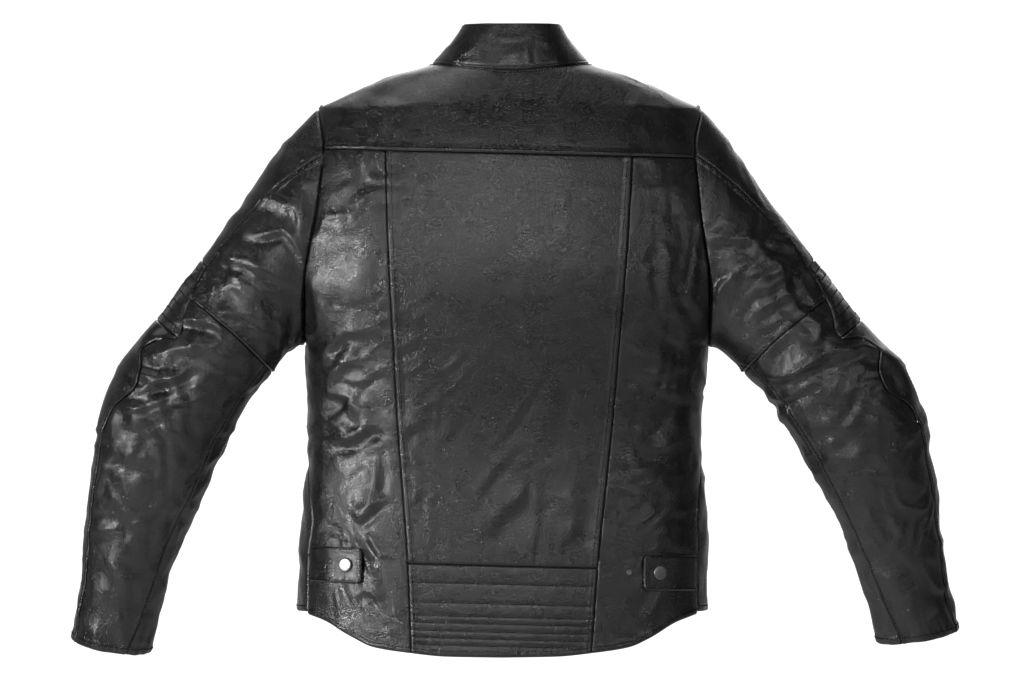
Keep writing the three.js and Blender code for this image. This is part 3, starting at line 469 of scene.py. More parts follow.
def hide_material(name, colour, rough, swing, pebbles, depth):
    """Finished hide. The bump adds a fine pebble grain, stretch creases, a fine noise and larger milled
    pebbles; the roughness wanders by a swing either way."""
    material, tree, shader, place = finish(name)
    shader.inputs["IOR"].default_value = 1.5
    shader.inputs["Coat Weight"].default_value = 0.12
    shader.inputs["Coat Roughness"].default_value = 0.3
    grain = texture(tree, place, "ShaderNodeTexVoronoi", pebbles)
    grain.feature = "SMOOTH_F1"
    drift = texture(tree, place, "ShaderNodeTexNoise", 55, 3)
    pushed = tree.nodes.new("ShaderNodeMix")
    pushed.data_type = "VECTOR"
    pushed.inputs[0].default_value = 0.035
    tree.links.new(place, pushed.inputs[4])
    tree.links.new(drift.outputs["Color"], pushed.inputs[5])
    creases = texture(tree, pushed.outputs[1], "ShaderNodeTexVoronoi", pebbles / 5)
    creases.feature = "DISTANCE_TO_EDGE"
    milled = texture(tree, place, "ShaderNodeTexVoronoi", pebbles / 2.4)
    milled.feature = "DISTANCE_TO_EDGE"
    fine = texture(tree, place, "ShaderNodeTexNoise", 330, 4)
    normal = bumped(tree, ranged(tree, grain.outputs["Distance"], 0, 0.7, 1, 0), depth, 1.0)
    normal = bumped(tree, ranged(tree, creases.outputs["Distance"], 0, 0.14, 0, 1), depth * 2, 0.55, normal)
    normal = bumped(tree, fine.outputs[0], depth * 2.5, 0.5, normal)
    normal = bumped(tree, ranged(tree, milled.outputs["Distance"], 0, 0.15, 0, 1), depth, 0.8, normal)
    tree.links.new(normal, shader.inputs["Normal"])
    cloud = texture(tree, place, "ShaderNodeTexNoise", 38, 4).outputs[0]
    tree.links.new(ranged(tree, cloud, 0.3, 0.7, rough - swing, rough + swing), shader.inputs["Roughness"])
    two_tone(tree, shader, cloud, colour, 0.75, 1.3)
    return material


leather = hide_material("black_cowhide", (0.0055, 0.0056, 0.0058), 0.29, 0.08, 900, 0.00011)

stitch_lines = {}  # the lines that are sewn, by the bodies they move with


def sew(moves, p, n, edge, d, start=0.0, stop=1.0):
    """Marks a stitched line at a distance d from one edge of a grid, blended between its columns."""
    q, m = {"left": (p, n), "right": (p[:, ::-1], n[:, ::-1]),
            "low": (p.transpose(1, 0, 2), n.transpose(1, 0, 2)),
            "high": (p[::-1].transpose(1, 0, 2), n[::-1].transpose(1, 0, 2))}[edge]
    walk = np.cumsum(np.linalg.norm(np.diff(q, axis=1), axis=-1), 1)
    walk = np.concatenate([np.zeros((len(q), 1)), walk], 1)
    j = np.clip((walk < d).sum(1) - 1, 0, q.shape[1] - 2)
    i = np.arange(len(q))
    f = ((d - walk[i, j]) / (walk[i, j + 1] - walk[i, j] + 1e-9))[:, None]
    line, up = mix(q[i, j], q[i, j + 1], f), mix(m[i, j], m[i, j + 1], f)
    cut = slice(int(start * len(line)), max(2, int(stop * len(line))))
    stitch_lines.setdefault(moves, []).append((line[cut], up[cut]))


UNDER = ("under", 0)


def cut_leather(name, place, first, last, low, high, size, step, inside, moves, edges, seed,
                relief=None, wall=1.3, keep=None):
    """One cut of leather: a patch of a face between its seam lines, raised by the hide's unevenness,
    by its relief and by its seams, with stitches wherever an edge is sewn down."""
    sides = [edges.get(k, UNDER) for k in ("left", "right", "low", "high")]
    u, v = stepped(size[0], step, *sides[:2]), stepped(size[1], step, *sides[2:])
    p = between(first, last, low, high, u, v, place)
    n = normals(p, inside)
    l, r, b, t = distances(p)
    height = hide(p)
    for d, (kind, stitch), s, k in zip((l, r, b, t), sides, (b, b, l, l), range(4)):
        height = height + seam(d, kind, stitch, s, seed + k)
    if relief is not None:
        height = height + relief(p)
    q = p + n * height[..., None]
    for edge, (kind, stitch) in edges.items():
        for d in np.atleast_1d(stitch):
            if d:
                sew(moves, q, n, edge, d, 0.012, 0.988)
    piece = sheet_mesh(name, q, inside, leather, wall, keep=None if keep is None else keep(p))
    return piece, q, n


# ---- Back -----------------------------------------------------------------------------------------
# A broad centre panel runs from the yoke to a stitched band over the tail, with a narrower panel on
# each side. Its long edges lap over the side panels and are topstitched.

hem_line = curve((0, 0), (60, 1), (102, 5), (142, 11), (170, 23), (198, 39), (220, 47), (232, FRONT_HEM))
long_seam_x = curve((0, 101), (107, 107), (175, 113), (265, 121), (367, 128), (458, 134), (YOKE, 139))
SKEW = 0.025
PI = np.pi


def side_back(z):
    """The side panel reaches behind the side line below the waist and lies in front of it above."""
    return -0.21 * (1 - smooth((z - 150) / 110))


def side_front(z):
    """How far in front of the side line the gusset reaches, less and less with height."""
    return mix(0.3, 0.14, np.clip(z / UNDERARM, 0, 1))


def back_edge(z):
    """The back's outer edge: the side seam, then the armhole, then the shoulder seam."""
    upper = np.where(z < SHOULDER, angle_at(z, armhole_x(z), -1), 0)
    return np.where(z <= UNDERARM, side_back(z), upper)


def front_edge(z):
    """The front's outer edge: the side seam, then the armhole, then the shoulder seam."""
    side = np.maximum(side_front(UNDERARM), angle_at(z, armhole_x(z), 1))
    return np.where(z <= UNDERARM, side_front(z), np.where(z >= SHOULDER, 0, side))


def from_middle(z, angle):
    """A face point's distance from the body's middle."""
    return torso(z, angle)[..., 0] - middle_x(z)


def yoke_seam(angle):
    """The seam under the yoke, which slopes down to the right."""
    return YOKE - SKEW * from_middle(YOKE, angle)


def rib_seam(angle):
    """The seam above the stitched band, with the same slope."""
    return 103 - SKEW * from_middle(103, angle)


def hem(angle):
    """The hem: the curved tail behind, level in front."""
    return np.where(np.sin(angle) < 0, hem_line(np.abs(from_middle(30, angle))), FRONT_HEM)


def neck_seam(angle):
    """The neck seam: highest at the sides, and lowest at the chin."""
    s = np.sin(angle)
    front = mix(SIDE_NECK, FRONT_NECK, np.abs(s) ** 2.4)
    return np.where(s < 0, mix(SIDE_NECK, BACK_NECK, s * s), front)


def back_half(side, angle):
    """An angle on the back's right half, or its mirror image on the left."""
    return angle if side > 0 else -PI - angle


def turned_to(side, angle):
    """An angle counted from the right, or its mirror image from the left."""
    return angle if side > 0 else PI - angle


def long_seam(z):
    """The centre panel's right seam as an angle."""
    return angle_at(z, long_seam_x(z), -1)


TORSO_FOLDS = [
    (-185, 250, 25, 90, 15, 40, 12, 34, 4, 1.1, 1), (170, 300, 35, 120, -30, 25, 14, 60, 6, 0.9, 2),
    (0, 210, 110, 90, 75, 30, 10, 60, 9, 0.7, 3), (-90, 330, 30, 90, 30, 15, 7, 34, 5, 0.7, 4),
    (165, 150, 30, 60, 50, 30, 7, 50, 6, 0.9, 16), (-165, 90, 30, 50, -60, 30, 9, 40, 5, 1.2, 17),
    (0, 120, 110, 12, 90, 12, 14, 34, 4, 0.5, 18),
]
TORSO_DRAPES = [
    (3.2, 9, (-224, 440), (-218, 400), (-213, 362)),
    (3.6, 8, (-212, 330), (-200, 352), (-182, 366), (-140, 369)),
    (2.6, 8, (-210, 300), (-200, 318), (-188, 330), (-140, 342)),
    (3.4, 6, (-216, 300), (-196, 296), (-179, 291), (-184, 278), (-213, 257)),
    (4.2, 9, (-200, 246), (-184, 246), (-168, 254), (-154, 278)),
    (2.6, 7, (-170, 160), (-156, 180), (-151, 205), (-153, 238)),
    (3.4, 6, (-176, 152), (-162, 162), (-136, 182)),
    (2.6, 6, (-160, 140), (-152, 125), (-140, 108)),
    (2.0, 5, (-178, 66), (-160, 74), (-140, 60)),
    (1.6, 8, (-132, 345), (-116, 352), (-98, 362)),
    (1.6, 9, (-124, 252), (-108, 262), (-90, 274)),
    (1.4, 8, (-112, 168), (-104, 190), (-108, 214)),
    (2.4, 12, (60, 120), (72, 160), (64, 200)),
    (1.8, 14, (-40, 130), (-10, 165), (20, 190)),
    (2.6, 10, (172, 470), (178, 440), (172, 400)),
    (2.2, 9, (130, 330), (160, 318), (205, 330)),
    (2.0, 9, (135, 250), (165, 235), (200, 250)),
    (2.2, 9, (140, 190), (162, 196), (190, 180)),
]


def torso_relief(p):
    """The folds and drapes of the body."""
    return folds(p, TORSO_FOLDS) + draped(p, TORSO_DRAPES)


def steady(height):
    """An edge line that stays at one height, station or angle."""
    return lambda a: 0 * a + height


trunk = np.array([0, 0, 330])
centre, *_ = cut_leather(
    "back_centre", torso, lambda z: back_half(-1, long_seam(z)), long_seam, rib_seam, yoke_seam,
    (260, 462), 2.2, trunk, "torso",
    {"left": ("over", 6.5), "right": ("over", 6.5)}, 21, torso_relief,
)
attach(centre, "torso")
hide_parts("back_centre_panel")

RIB_ROWS = (82, 60, 45.2, 37.3, 28.3, 20.3, 12.4)


def stitched_band(p):
    """Rows of stitching across the tail: a groove at each row, a soft puff between two rows, and short
    upright puckers where the thread draws the leather together."""
    x, z = p[..., 0], p[..., 2] + SKEW * (p[..., 0] - middle_x(p[..., 2]))
    total = folds(p, TORSO_FOLDS) * 0.4
    rows = np.array(RIB_ROWS)
    gap = np.abs(z[..., None] - rows).min(-1)
    total = total - 0.5 * np.exp(-((gap / 1.1) ** 2)) + 0.25 * (1 - np.exp(-((gap / 4) ** 2)))
    wave = np.sin(x / 1.7 + 2.5 * np.sin(x / 13 + z / 11)) * (0.6 + 0.4 * np.sin(x / 23 + z / 7))
    return total + 0.15 * wave * np.exp(-((gap / 5) ** 2))


band, q, n = cut_leather(
    "back_stitched_band", torso, lambda z: back_half(-1, long_seam(z)), long_seam, hem, rib_seam,
    (210, 104), 1.45, trunk, "torso",
    {"left": ("over", 5.5), "right": ("over", 5.5), "low": ("hem", 6.5), "high": UNDER}, 31, stitched_band,
)
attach(band, "torso")
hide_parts("back_rib_panel")
low_edge = distances(q)[2]
for row in RIB_ROWS:
    height = q[..., 2] + SKEW * (q[..., 0] - middle_x(q[..., 2]))
    j = np.clip((height < row).sum(0), 1, len(q) - 1)
    i = np.arange(q.shape[1])
    f = ((row - height[j - 1, i]) / (height[j, i] - height[j - 1, i] + 1e-9))[:, None]
    line, up = mix(q[j - 1, i], q[j, i], f), mix(n[j - 1, i], n[j, i], f)
    inside_band = (low_edge[j, i] > 8) & (np.abs(q[0, i, 0]) < 200)
    line, up = line[inside_band][3:-3], up[inside_band][3:-3]
    stitch_lines.setdefault("torso", []).append((line, up))

for which, side in (("left", -1), ("right", 1)):
    flank, *_ = cut_leather(
        f"back_flank_{which}", torso, lambda z: back_half(side, long_seam(z)),
        lambda z: back_half(side, back_edge(z)), hem, yoke_seam,
        (105, 530), 2.3, trunk, "torso", {"low": ("hem", 6.5)}, 41 + side, torso_relief,
    )
    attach(flank, "torso")
    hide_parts(f"back_side_panel_{which}")
    gusset, *_ = cut_leather(
        f"side_gusset_{which}", torso, lambda z: turned_to(side, side_back(z)),
        lambda z: turned_to(side, side_front(z)), steady(FRONT_HEM), steady(UNDERARM),
        (75, 300), 2.6, trunk, "torso", {"low": ("hem", 6.5)}, 51 + side, torso_relief,
    )
    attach(gusset, "torso")
    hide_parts(f"side_panel_{which}")

# ---- Yoke -----------------------------------------------------------------------------------------
# One piece across the shoulder blades up to the collar. Its lower edge laps over the panels below and
# is topstitched.

yoke, *_ = cut_leather(
    "back_yoke_cut", torso, lambda z: back_half(-1, back_edge(z)), back_edge, yoke_seam, neck_seam,
    (430, 98), 2.3, np.array([0, 0, 600]), "torso",
    {"low": ("over", 4.5), "high": ("under", 3.4)}, 61, torso_relief,
)
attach(yoke, "torso")
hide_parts("back_yoke")

# ---- Fronts ---------------------------------------------------------------------------------------
# Each front is one large cut from the side panel to the main zip, open at its hand pocket. A turned
# edge with a stitch line faces the zip.


def zip_field(half):
    """A line beside the main zip, a distance from its middle."""
    return lambda z: angle_at(z, half, 1)


def axes(origin, out, along):
    """A frame on a face: its origin, and unit vectors across, out of the garment and along."""
    y = out - along * (out @ along) / (along @ along)
    y, z = y / np.linalg.norm(y), along / np.linalg.norm(along)
    return origin, np.stack([np.cross(y, z), y, z])


ZIP_DEPTH = 3.6
POCKET_LOW, POCKET_HIGH, POCKET_Z, POCKET_LENGTH = 0.6, 0.53, 120, 150


def pocket_frame(side):
    """The hand pocket's zip runs straight between two points of the front."""
    share = (POCKET_LOW + POCKET_HIGH) / 2

    def at(part, z):
        return torso(z, turned_to(side, angle_at(z, part * half_width(z), 1)))

    low, high = at(POCKET_LOW, POCKET_Z), at(POCKET_HIGH, POCKET_Z + POCKET_LENGTH)
    middle = at(share, POCKET_Z + POCKET_LENGTH / 2)
    along = (high - low) / np.linalg.norm(high - low)
    out = np.cross(at(share + 0.02, middle[2]) - middle, along)
    out *= np.sign(out[1]) / np.linalg.norm(out)
    return axes(low + out * ((middle - (low + high) / 2) @ out) / 2, out, along)


def within(p, where, half, low, high):
    """Whether points lie outside a zip's opening."""
    origin, turn = where
    local = (p - origin) @ turn.T
    return ~((np.abs(local[..., 0]) < half) & (local[..., 2] > low) & (local[..., 2] < high))


def pull_rest(x, z):
    """A shallow dip past the low end of a zip, in its own frame, where the lowered pull lies."""
    return 2.2 * np.exp(-((x / 7) ** 4)) * smooth((z + 20) / 6) * smooth((8 - z) / 6)


def tube_mesh(name, rings, material, ring=False):
    """Closed rings of points in millimetres, joined one to the next. The ends are capped, unless the
    last ring joins the first. The faces point outwards."""
    count, around = rings.shape[:2]
    index = np.arange(count * around).reshape(count, around)
    index = np.concatenate([index, index[:, :1]], 1)
    if ring:
        index = np.concatenate([index, index[:1]], 0)
    a, b, c, d = index[:-1, :-1], index[:-1, 1:], index[1:, 1:], index[1:, :-1]
    quads = np.stack([a, b, c, d], -1).reshape(-1, 4)
    points = rings.reshape(-1, 3)
    start = points[quads] - rings[count // 2].mean(0)
    volume = np.einsum("ij,ij->i", start[:, 0], np.cross(start[:, 1], start[:, 2])).sum()
    volume += np.einsum("ij,ij->i", start[:, 0], np.cross(start[:, 2], start[:, 3])).sum()
    faces = quads.tolist()
    if not ring:
        faces += [index[0, :-1][::-1].tolist(), index[-1, :-1].tolist()]
    if volume < 0:
        faces = [f[::-1] for f in faces]
    return new_piece(name, points, faces, material)


def welt(name, where, length, half):
    """The turned leather edge round a zip's opening: an oval roll, deeper inside than outside, carried
    round a long slot with round ends."""
    origin, turn = where
    straight = np.linspace(0, 1, 40)
    bend = np.linspace(-PI / 2, PI / 2, 13)
    x = np.concatenate([0 * straight + half, half * np.cos(bend + PI / 2), 0 * straight - half,
                        -half * np.cos(bend + PI / 2)])
    z = np.concatenate([straight * length, length + half * np.sin(bend + PI / 2), length - straight * length,
                        -half * np.sin(bend + PI / 2)])
    path = np.stack([x, -pull_rest(x, z), z], -1)
    far = np.roll(path, -1, 0) - np.roll(path, 1, 0)
    away = np.cross(far, [0, 1, 0])
    away /= np.linalg.norm(away, axis=-1, keepdims=True) + 1e-9
    phase = np.linspace(0, 2 * PI, 14, endpoint=False)
    wide = 4.2 * np.cos(phase)
    tall = np.where(np.sin(phase) > 0, 1.5 * np.sin(phase), 2.8 * np.sin(phase))
    rings = path[:, None] + away[:, None] * wide[None, :, None] + np.array([0, 1, 0]) * tall[None, :, None]
    piece = tube_mesh(name, rings @ turn + origin, leather, ring=True)
    return piece


for which, side in (("left", -1), ("right", 1)):
    pocket = pocket_frame(side)

    def front_relief(p):
        """The body's folds, less the dip where the lowered pocket pull lies."""
        local = (p - pocket[0]) @ pocket[1].T
        return torso_relief(p) - pull_rest(local[..., 0], local[..., 2]) * (local[..., 1] > -30)

    front, *_ = cut_leather(
        f"front_{which}", torso, lambda z: turned_to(side, front_edge(z)),
        lambda z: turned_to(side, zip_field(7.5)(z)), steady(FRONT_HEM), neck_seam,
        (215, 590), 3.3, trunk, "torso",
        {"low": ("hem", 6.5), "right": ("hem", 5), "high": ("under", 0)}, 71 + side, front_relief,
        keep=lambda p: within(p, pocket, 8.5, -3, POCKET_LENGTH + 3),
    )
    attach(front, "torso")
    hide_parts(f"front_panel_{which}")
    rim = welt(f"pocket_welt_{which}", pocket, POCKET_LENGTH, 9.5)
    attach(rim, "torso")

# ---- Collar ---------------------------------------------------------------------------------------
# A short stand collar of two layers, sewn into the neck seam and turned over at its soft top edge. It
# runs from one side of the zip round the neck to the other.

COLLAR_HALF, COLLAR_BACK, CHIN = 59, -47, 652
COLLAR_LIP, COLLAR_WALL = 2.1, 4.4  # the turned edge's radius, and the way from face to inside


def collar_top(angle):
    """The collar's upper edge: a rounded oval round the neck, higher behind than at the chin."""
    s = np.sin(angle)
    x, y = rounded(COLLAR_HALF, (front_y(CHIN) - COLLAR_BACK) / 2, 2.9, angle)
    z = np.where(s < 0, mix(702, 713, smooth(-s * 1.6)), mix(702, CHIN, s * s))
    return np.stack([x + middle_x(z), y + (front_y(CHIN) + COLLAR_BACK) / 2, z], -1)


def collar_ring(u, v):
    """A point of the collar's outer face, from one side of the zip (u 0) round to the other (1)."""
    chin_depth = (front_y(CHIN) - COLLAR_BACK) / 2
    foot = angle_at(np.float64(FRONT_NECK), 8, 1)
    brow = np.arctan2(chin_depth, 8)
    angle = mix(foot, -PI - foot, u)
    base = torso(neck_seam(angle), angle)
    top = collar_top(mix(brow, -PI - brow, u))
    return base + (top - base) * v[..., None]


COLLAR_FOLDS = [
    (0, 690, 70, 16, 80, 30, 10, 26, 5, 0.9, 5), (0, 684, 70, 14, 20, 30, 8, 26, 4, 0.7, 6),
]
along_collar = np.linspace(0, 1, 230)
up_collar = stepped(60, 2.0, ("under", 4), ("over", 0))
u, v = np.meshgrid(along_collar, np.concatenate([[-0.09, -0.04], up_collar]))
p = collar_ring(u, v)
n = normals(p, np.array([0, 10, 640]))
rise = np.maximum(0, distances(p)[2] - distances(p)[2][2])
q = p + n * (folds(p, COLLAR_FOLDS) + hide(p) * 0.7 + seam(rise, "under", 0, u, 1)
             - 0.5 * np.exp(-(((rise - 3.6) / 0.8) ** 2)) + 0.5 * np.sin(PI * np.maximum(v, 0)) - 0.4
             - 1.5 * (v < 0))[..., None]
sew("torso", q, n, "low", 3.6)
turn = np.linspace(0, PI, 7)[1:-1]
edge_middle = q[-1] - n[-1] * COLLAR_LIP
upright = np.array([0, 0, 1.0])
lip = [edge_middle + n[-1] * COLLAR_LIP * np.cos(a) + upright * COLLAR_LIP * np.sin(a) for a in turn]
lip = np.stack(lip)
inner = p[::-6] - n[::-6] * COLLAR_WALL + n[::-6] * hide(p[::-6] + 500)[..., None] * 0.3
rings = np.concatenate([q, lip, inner], 0).transpose(1, 0, 2)
collar = tube_mesh("stand_collar", rings, leather)
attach(collar, "torso")
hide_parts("collar")

# ---- Waist straps and snaps -----------------------------------------------------------------------
# A short tab is sewn into each side seam and snaps flat to the back, with a spare stud further in. The
# tab is two layers, stitched near its edge; cap and studs are blackened brass.


def blackened(name, colour, rough, scratch):
    """Dark plated metal: one noise wears its roughness, its tone and, in the bump, its face."""
    material, tree, shader, place = finish(name)
    shader.inputs["Metallic"].default_value = 1
    wear = texture(tree, place, "ShaderNodeTexNoise", scratch, 5).outputs[0]
    tree.links.new(ranged(tree, wear, 0.3, 0.7, rough - 0.1, rough + 0.12), shader.inputs["Roughness"])
    two_tone(tree, shader, wear, colour, 0.7, 1.25)
    tree.links.new(bumped(tree, wear, 0.0001, 0.4), shader.inputs["Normal"])
    return material


snap_metal = blackened("blackened_brass", (0.17, 0.17, 0.175), 0.36, 900)
STRAP_Z, STRAP_HEIGHT, STRAP_END_X, SNAP_X, SPARE_X = 99.0, 40, 157, 174.5, 141.5
CAP_PROFILE = [  # radius, and height above the back
    (4.6, 3.0), (4.6, 3.2), (2.2, 3.4), (2.2, 6.7), (7.9, 6.8), (8.15, 7.1), (8.1, 7.7), (7.7, 8.25),
    (7.0, 8.5), (6.3, 8.6), (4.2, 8.66), (2.4, 8.7), (0.4, 8.72),
]
STUD_PROFILE = [
    (0.5, -2.3), (4.4, -2.3), (4.6, -2.1), (4.6, -1.8), (1.8, -1.6), (1.8, 0.35), (4.5, 0.4), (4.7, 0.7),
    (4.5, 1.0), (3.1, 1.05), (2.6, 1.3), (2.55, 1.6), (3.0, 1.9), (3.1, 2.2), (2.9, 2.6), (2.3, 2.8),
    (1.3, 2.75), (1.0, 2.4), (0.3, 2.3),
]


def strap_z(x):
    """The middle height of the straps, on the seams' slope."""
    return STRAP_Z - SKEW * x


def back_frame(side, x):
    """A frame on the back, x from the middle, level with the straps."""
    z = strap_z(side * x)
    about = back_half(side, angle_at(np.float64(z), x, -1))
    sideways = torso(z, about + 1e-3) - torso(z, about - 1e-3)
    up = torso(z + 0.5, about) - torso(z - 0.5, about)
    return axes(torso(z, about), np.cross(sideways, up), up)


def turned(name, profile, where, material, around):
    """A turned piece: a profile of [radius, height] points spun about the frame's outward axis. Each
    corner is held by a point close to it on either side, so that it stays crisp."""
    origin, turn = where
    points = np.array(profile, float)
    step = np.diff(points, axis=0)
    near = (np.minimum(0.12, np.linalg.norm(step, axis=-1) / 3) / np.linalg.norm(step, axis=-1))[:, None]
    held = np.stack([points[:-1] + step * near, points[1:] - step * near], 1).reshape(-1, 2)
    r, h = np.concatenate([points[:1], held, points[-1:]]).T
    spin = np.linspace(0, 2 * PI, around, endpoint=False)
    local = np.stack([r[:, None] * np.cos(spin), 0 * spin + h[:, None], r[:, None] * np.sin(spin)], -1)
    return tube_mesh(name, local @ turn + origin, material)


for which, side in (("left", -1), ("right", 1)):
    root = np.abs(from_middle(STRAP_Z, side_back(STRAP_Z) - 5 / HEM_HALF))

    def strap_face(at, angle):
        """The tab's outer face: at is its height share, angle its share from the root to the free end."""
        # the free end's corners are cut round
        corner = np.clip((np.abs(at - 0.5) - 0.36) / 0.14, 0, 1) ** 2 * 3.2 * smooth((angle - 0.8) / 0.2)
        x = mix(root, STRAP_END_X, angle) + corner
        z = strap_z(side * x) + (at - 0.5) * STRAP_HEIGHT
        about = back_half(side, angle_at(z, x, -1))
        near = torso(z, about)
        out = np.cross(torso(z, about + 1e-3) - torso(z, about - 1e-3), [0, 0, 1.0])
        out *= np.sign(out[..., 1:2]) * -1
        out /= np.linalg.norm(out, axis=-1, keepdims=True)
        bow = np.exp(-(((x - SNAP_X) / 9) ** 2)) * 0.5
        return near + out * (mix(0.5, 3.8, smooth(angle / 0.45)) - bow + 2.6)[..., None]

    strap, *_ = cut_leather(
        f"waist_tab_{which}", strap_face, steady(0), steady(1), steady(0), steady(1),
        (58, 40), 1.6, np.array([0, 0, STRAP_Z]), f"waist_strap_{which}",
        {"right": ("hem", 3), "low": ("hem", 3), "high": ("hem", 3)}, 81 + side,
        lambda p: -hide(p) * 0.75 - 0.35, wall=2.4,
    )
    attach(strap, f"strap_{which}")
    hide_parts(f"waist_strap_{which}")

    at_snap = back_frame(side, SNAP_X)
    cap = turned(f"snap_cap_turned_{which}", CAP_PROFILE, at_snap, snap_metal, 44)
    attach(cap, f"strap_{which}")
    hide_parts(f"snap_cap_{which}")
    at_spare = back_frame(side, SPARE_X)
    for kind, where in (("snap", at_snap), ("spare", at_spare)):
        stud = turned(f"{kind}_stud_turned_{which}", STUD_PROFILE, where, snap_metal, 32)
        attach(stud, "torso")
        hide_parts(f"{kind}_stud_{which}")

# ---- Sleeves --------------------------------------------------------------------------------------
# Each sleeve is a narrow top cut from the shoulder, a wide under cut, a ribbed stretch band over the
# elbow, and three forearm cuts. The top cut's seams are sewn with two rows of stitches.

OUTER_SHARES = np.array([
    [0, 0], [0.111, 0.064], [0.258, 0.166], [0.39, 0.249], [0.512, 0.328], [0.648, 0.415],
    [0.787, 0.493], [0.861, 0.575], [0.902, 0.666], [0.93, 0.756], [0.951, 0.876], [1, 1],
])
INNER_SHARES = np.array([
    [0, 0], [0.028, 0.001], [0.066, 0.01], [0.111, 0.035], [0.162, 0.065], [0.223, 0.097],
    [0.272, 0.139], [0.338, 0.194], [0.415, 0.268], [0.491, 0.343], [0.578, 0.443], [0.652, 0.574],
])
SLEEVE_REACH, SLEEVE_DROP = 287, 598
CUFF, ELBOW, RIBS_START, RIBS_END = 11, 5.3, 3.5, 4.85
FOREARM_FORWARD = 58
SLEEVE_SHIFT, SLEEVE_SWING = 4.5, 5.5


def edge_curves(shares, x, z):
    """A sleeve's edge across and down, from the place where it starts."""
    return (curve(*[(i, x + share * SLEEVE_REACH) for i, share in enumerate(shares[:, 0])]),
            curve(*[(i, z - share * SLEEVE_DROP) for i, share in enumerate(shares[:, 1])]))


outer_x, outer_z = edge_curves(OUTER_SHARES, SHOULDER_HALF, SHOULDER)
inner_x, inner_z = edge_curves(INNER_SHARES, UNDERARM_HALF, UNDERARM)
arm_depth = curve((0, 60), (3, 60), (6, 58), (9, 45.4), (CUFF, 37))
arm_forward = curve((0, 0), (4, 0), (6.5, 0.08), (9, 0.5), (CUFF, 1))
ARM_Y = front_y(485) - half_depth(485)
top_seam_line = curve((0, 53), (1, 48), (2, 37), (3, 31), (RIBS_START, 31), (4.3, 44), (RIBS_END, 58),
                      (5.1, 38), (5.35, 33), (5.9, 50), (6.2, 52), (6.8, 33), (7.5, 27), (CUFF, 26))
inner_seam_line = curve((5, 150), (6, 147), (8, 142), (10, 133), (CUFF, 116))


def top_seam(t):
    """The angle of the top cut's seams either side of the sleeve's outer edge."""
    return np.radians(top_seam_line(t))


def inner_seam(t):
    """The angle of the forearm's inner seam from the outer edge."""
    return np.radians(inner_seam_line(t))


def arm_middle(t):
    """The sleeve's middle line: half way between its edges, and drawn forward below the elbow."""
    y = ARM_Y + FOREARM_FORWARD * arm_forward(t)
    return np.stack([(outer_x(t) + inner_x(t)) / 2, y, (outer_z(t) + inner_z(t)) / 2], -1)


def arm_tube(t, angle):
    """The sleeve as an oval tube: angle 0 is its outer edge, half a turn the inner one, a quarter the
    front. The oval's depth stands square to the arm's line, and level at the shoulder."""
    out = np.stack([outer_x(t) - inner_x(t), 0 * t, outer_z(t) - inner_z(t)], -1) / 2
    along = arm_middle(np.minimum(CUFF, t + 0.2)) - arm_middle(np.maximum(0, t - 0.2))
    deep = np.cross(out, along)
    deep *= np.where(deep[..., 1:2] < 0, -1, 1) / np.linalg.norm(deep, axis=-1, keepdims=True)
    deep = mix(deep, np.array([0, 1.0, 0]), np.clip(1 - t, 0, 1)[..., None])
    deep /= np.linalg.norm(deep, axis=-1, keepdims=True)
    return arm_middle(t) + out * np.cos(angle)[..., None] + deep * (arm_depth(t) * np.sin(angle))[..., None]


def armhole(side, angle):
    """The armhole seam, on the trunk's face."""
    z = mix(UNDERARM, SHOULDER, (1 + np.cos(angle)) / 2)
    about = angle_at(z, armhole_x(z), np.where(np.sin(angle) < 0, -1, 1))
    return torso(z, turned_to(side, about))


def sleeve(side):
    """A point of a sleeve's face. Near the shoulder the tube is drawn on to the armhole seam."""
    mirror = np.array([side, 1, 1])

    def place(t, angle):
        """The tube, mirrored, swung a little lower on the right, and pulled to the armhole near its top."""
        t, angle = np.broadcast_arrays(np.asarray(t, float), np.asarray(angle, float))
        shift = mix(-SLEEVE_SHIFT, SLEEVE_SHIFT, smooth(t / CUFF))
        swing = np.stack([shift, 0 * t, side * SLEEVE_SWING * smooth((t - ELBOW) / (CUFF - ELBOW))], -1)
        p = arm_tube(t, angle) * mirror + swing
        start = arm_tube(0 * t, angle) * mirror - np.array([SLEEVE_SHIFT, 0, 0])
        pull = np.clip(1 - t / 2.5, 0, 1)[..., None] ** 2
        return p + (armhole(side, angle) - start) * pull

    return place


def cross_seam(angle):
    """The station of the seam under the elbow: it runs from the ribs' lower end up to the inner edge."""
    behind = smooth((angle - PI) / (PI * 0.85))
    front = smooth((PI - angle) / (PI * 0.85))
    return np.where(angle > PI, mix(3.5, 4.15, behind), mix(3.5, 4.0, front))


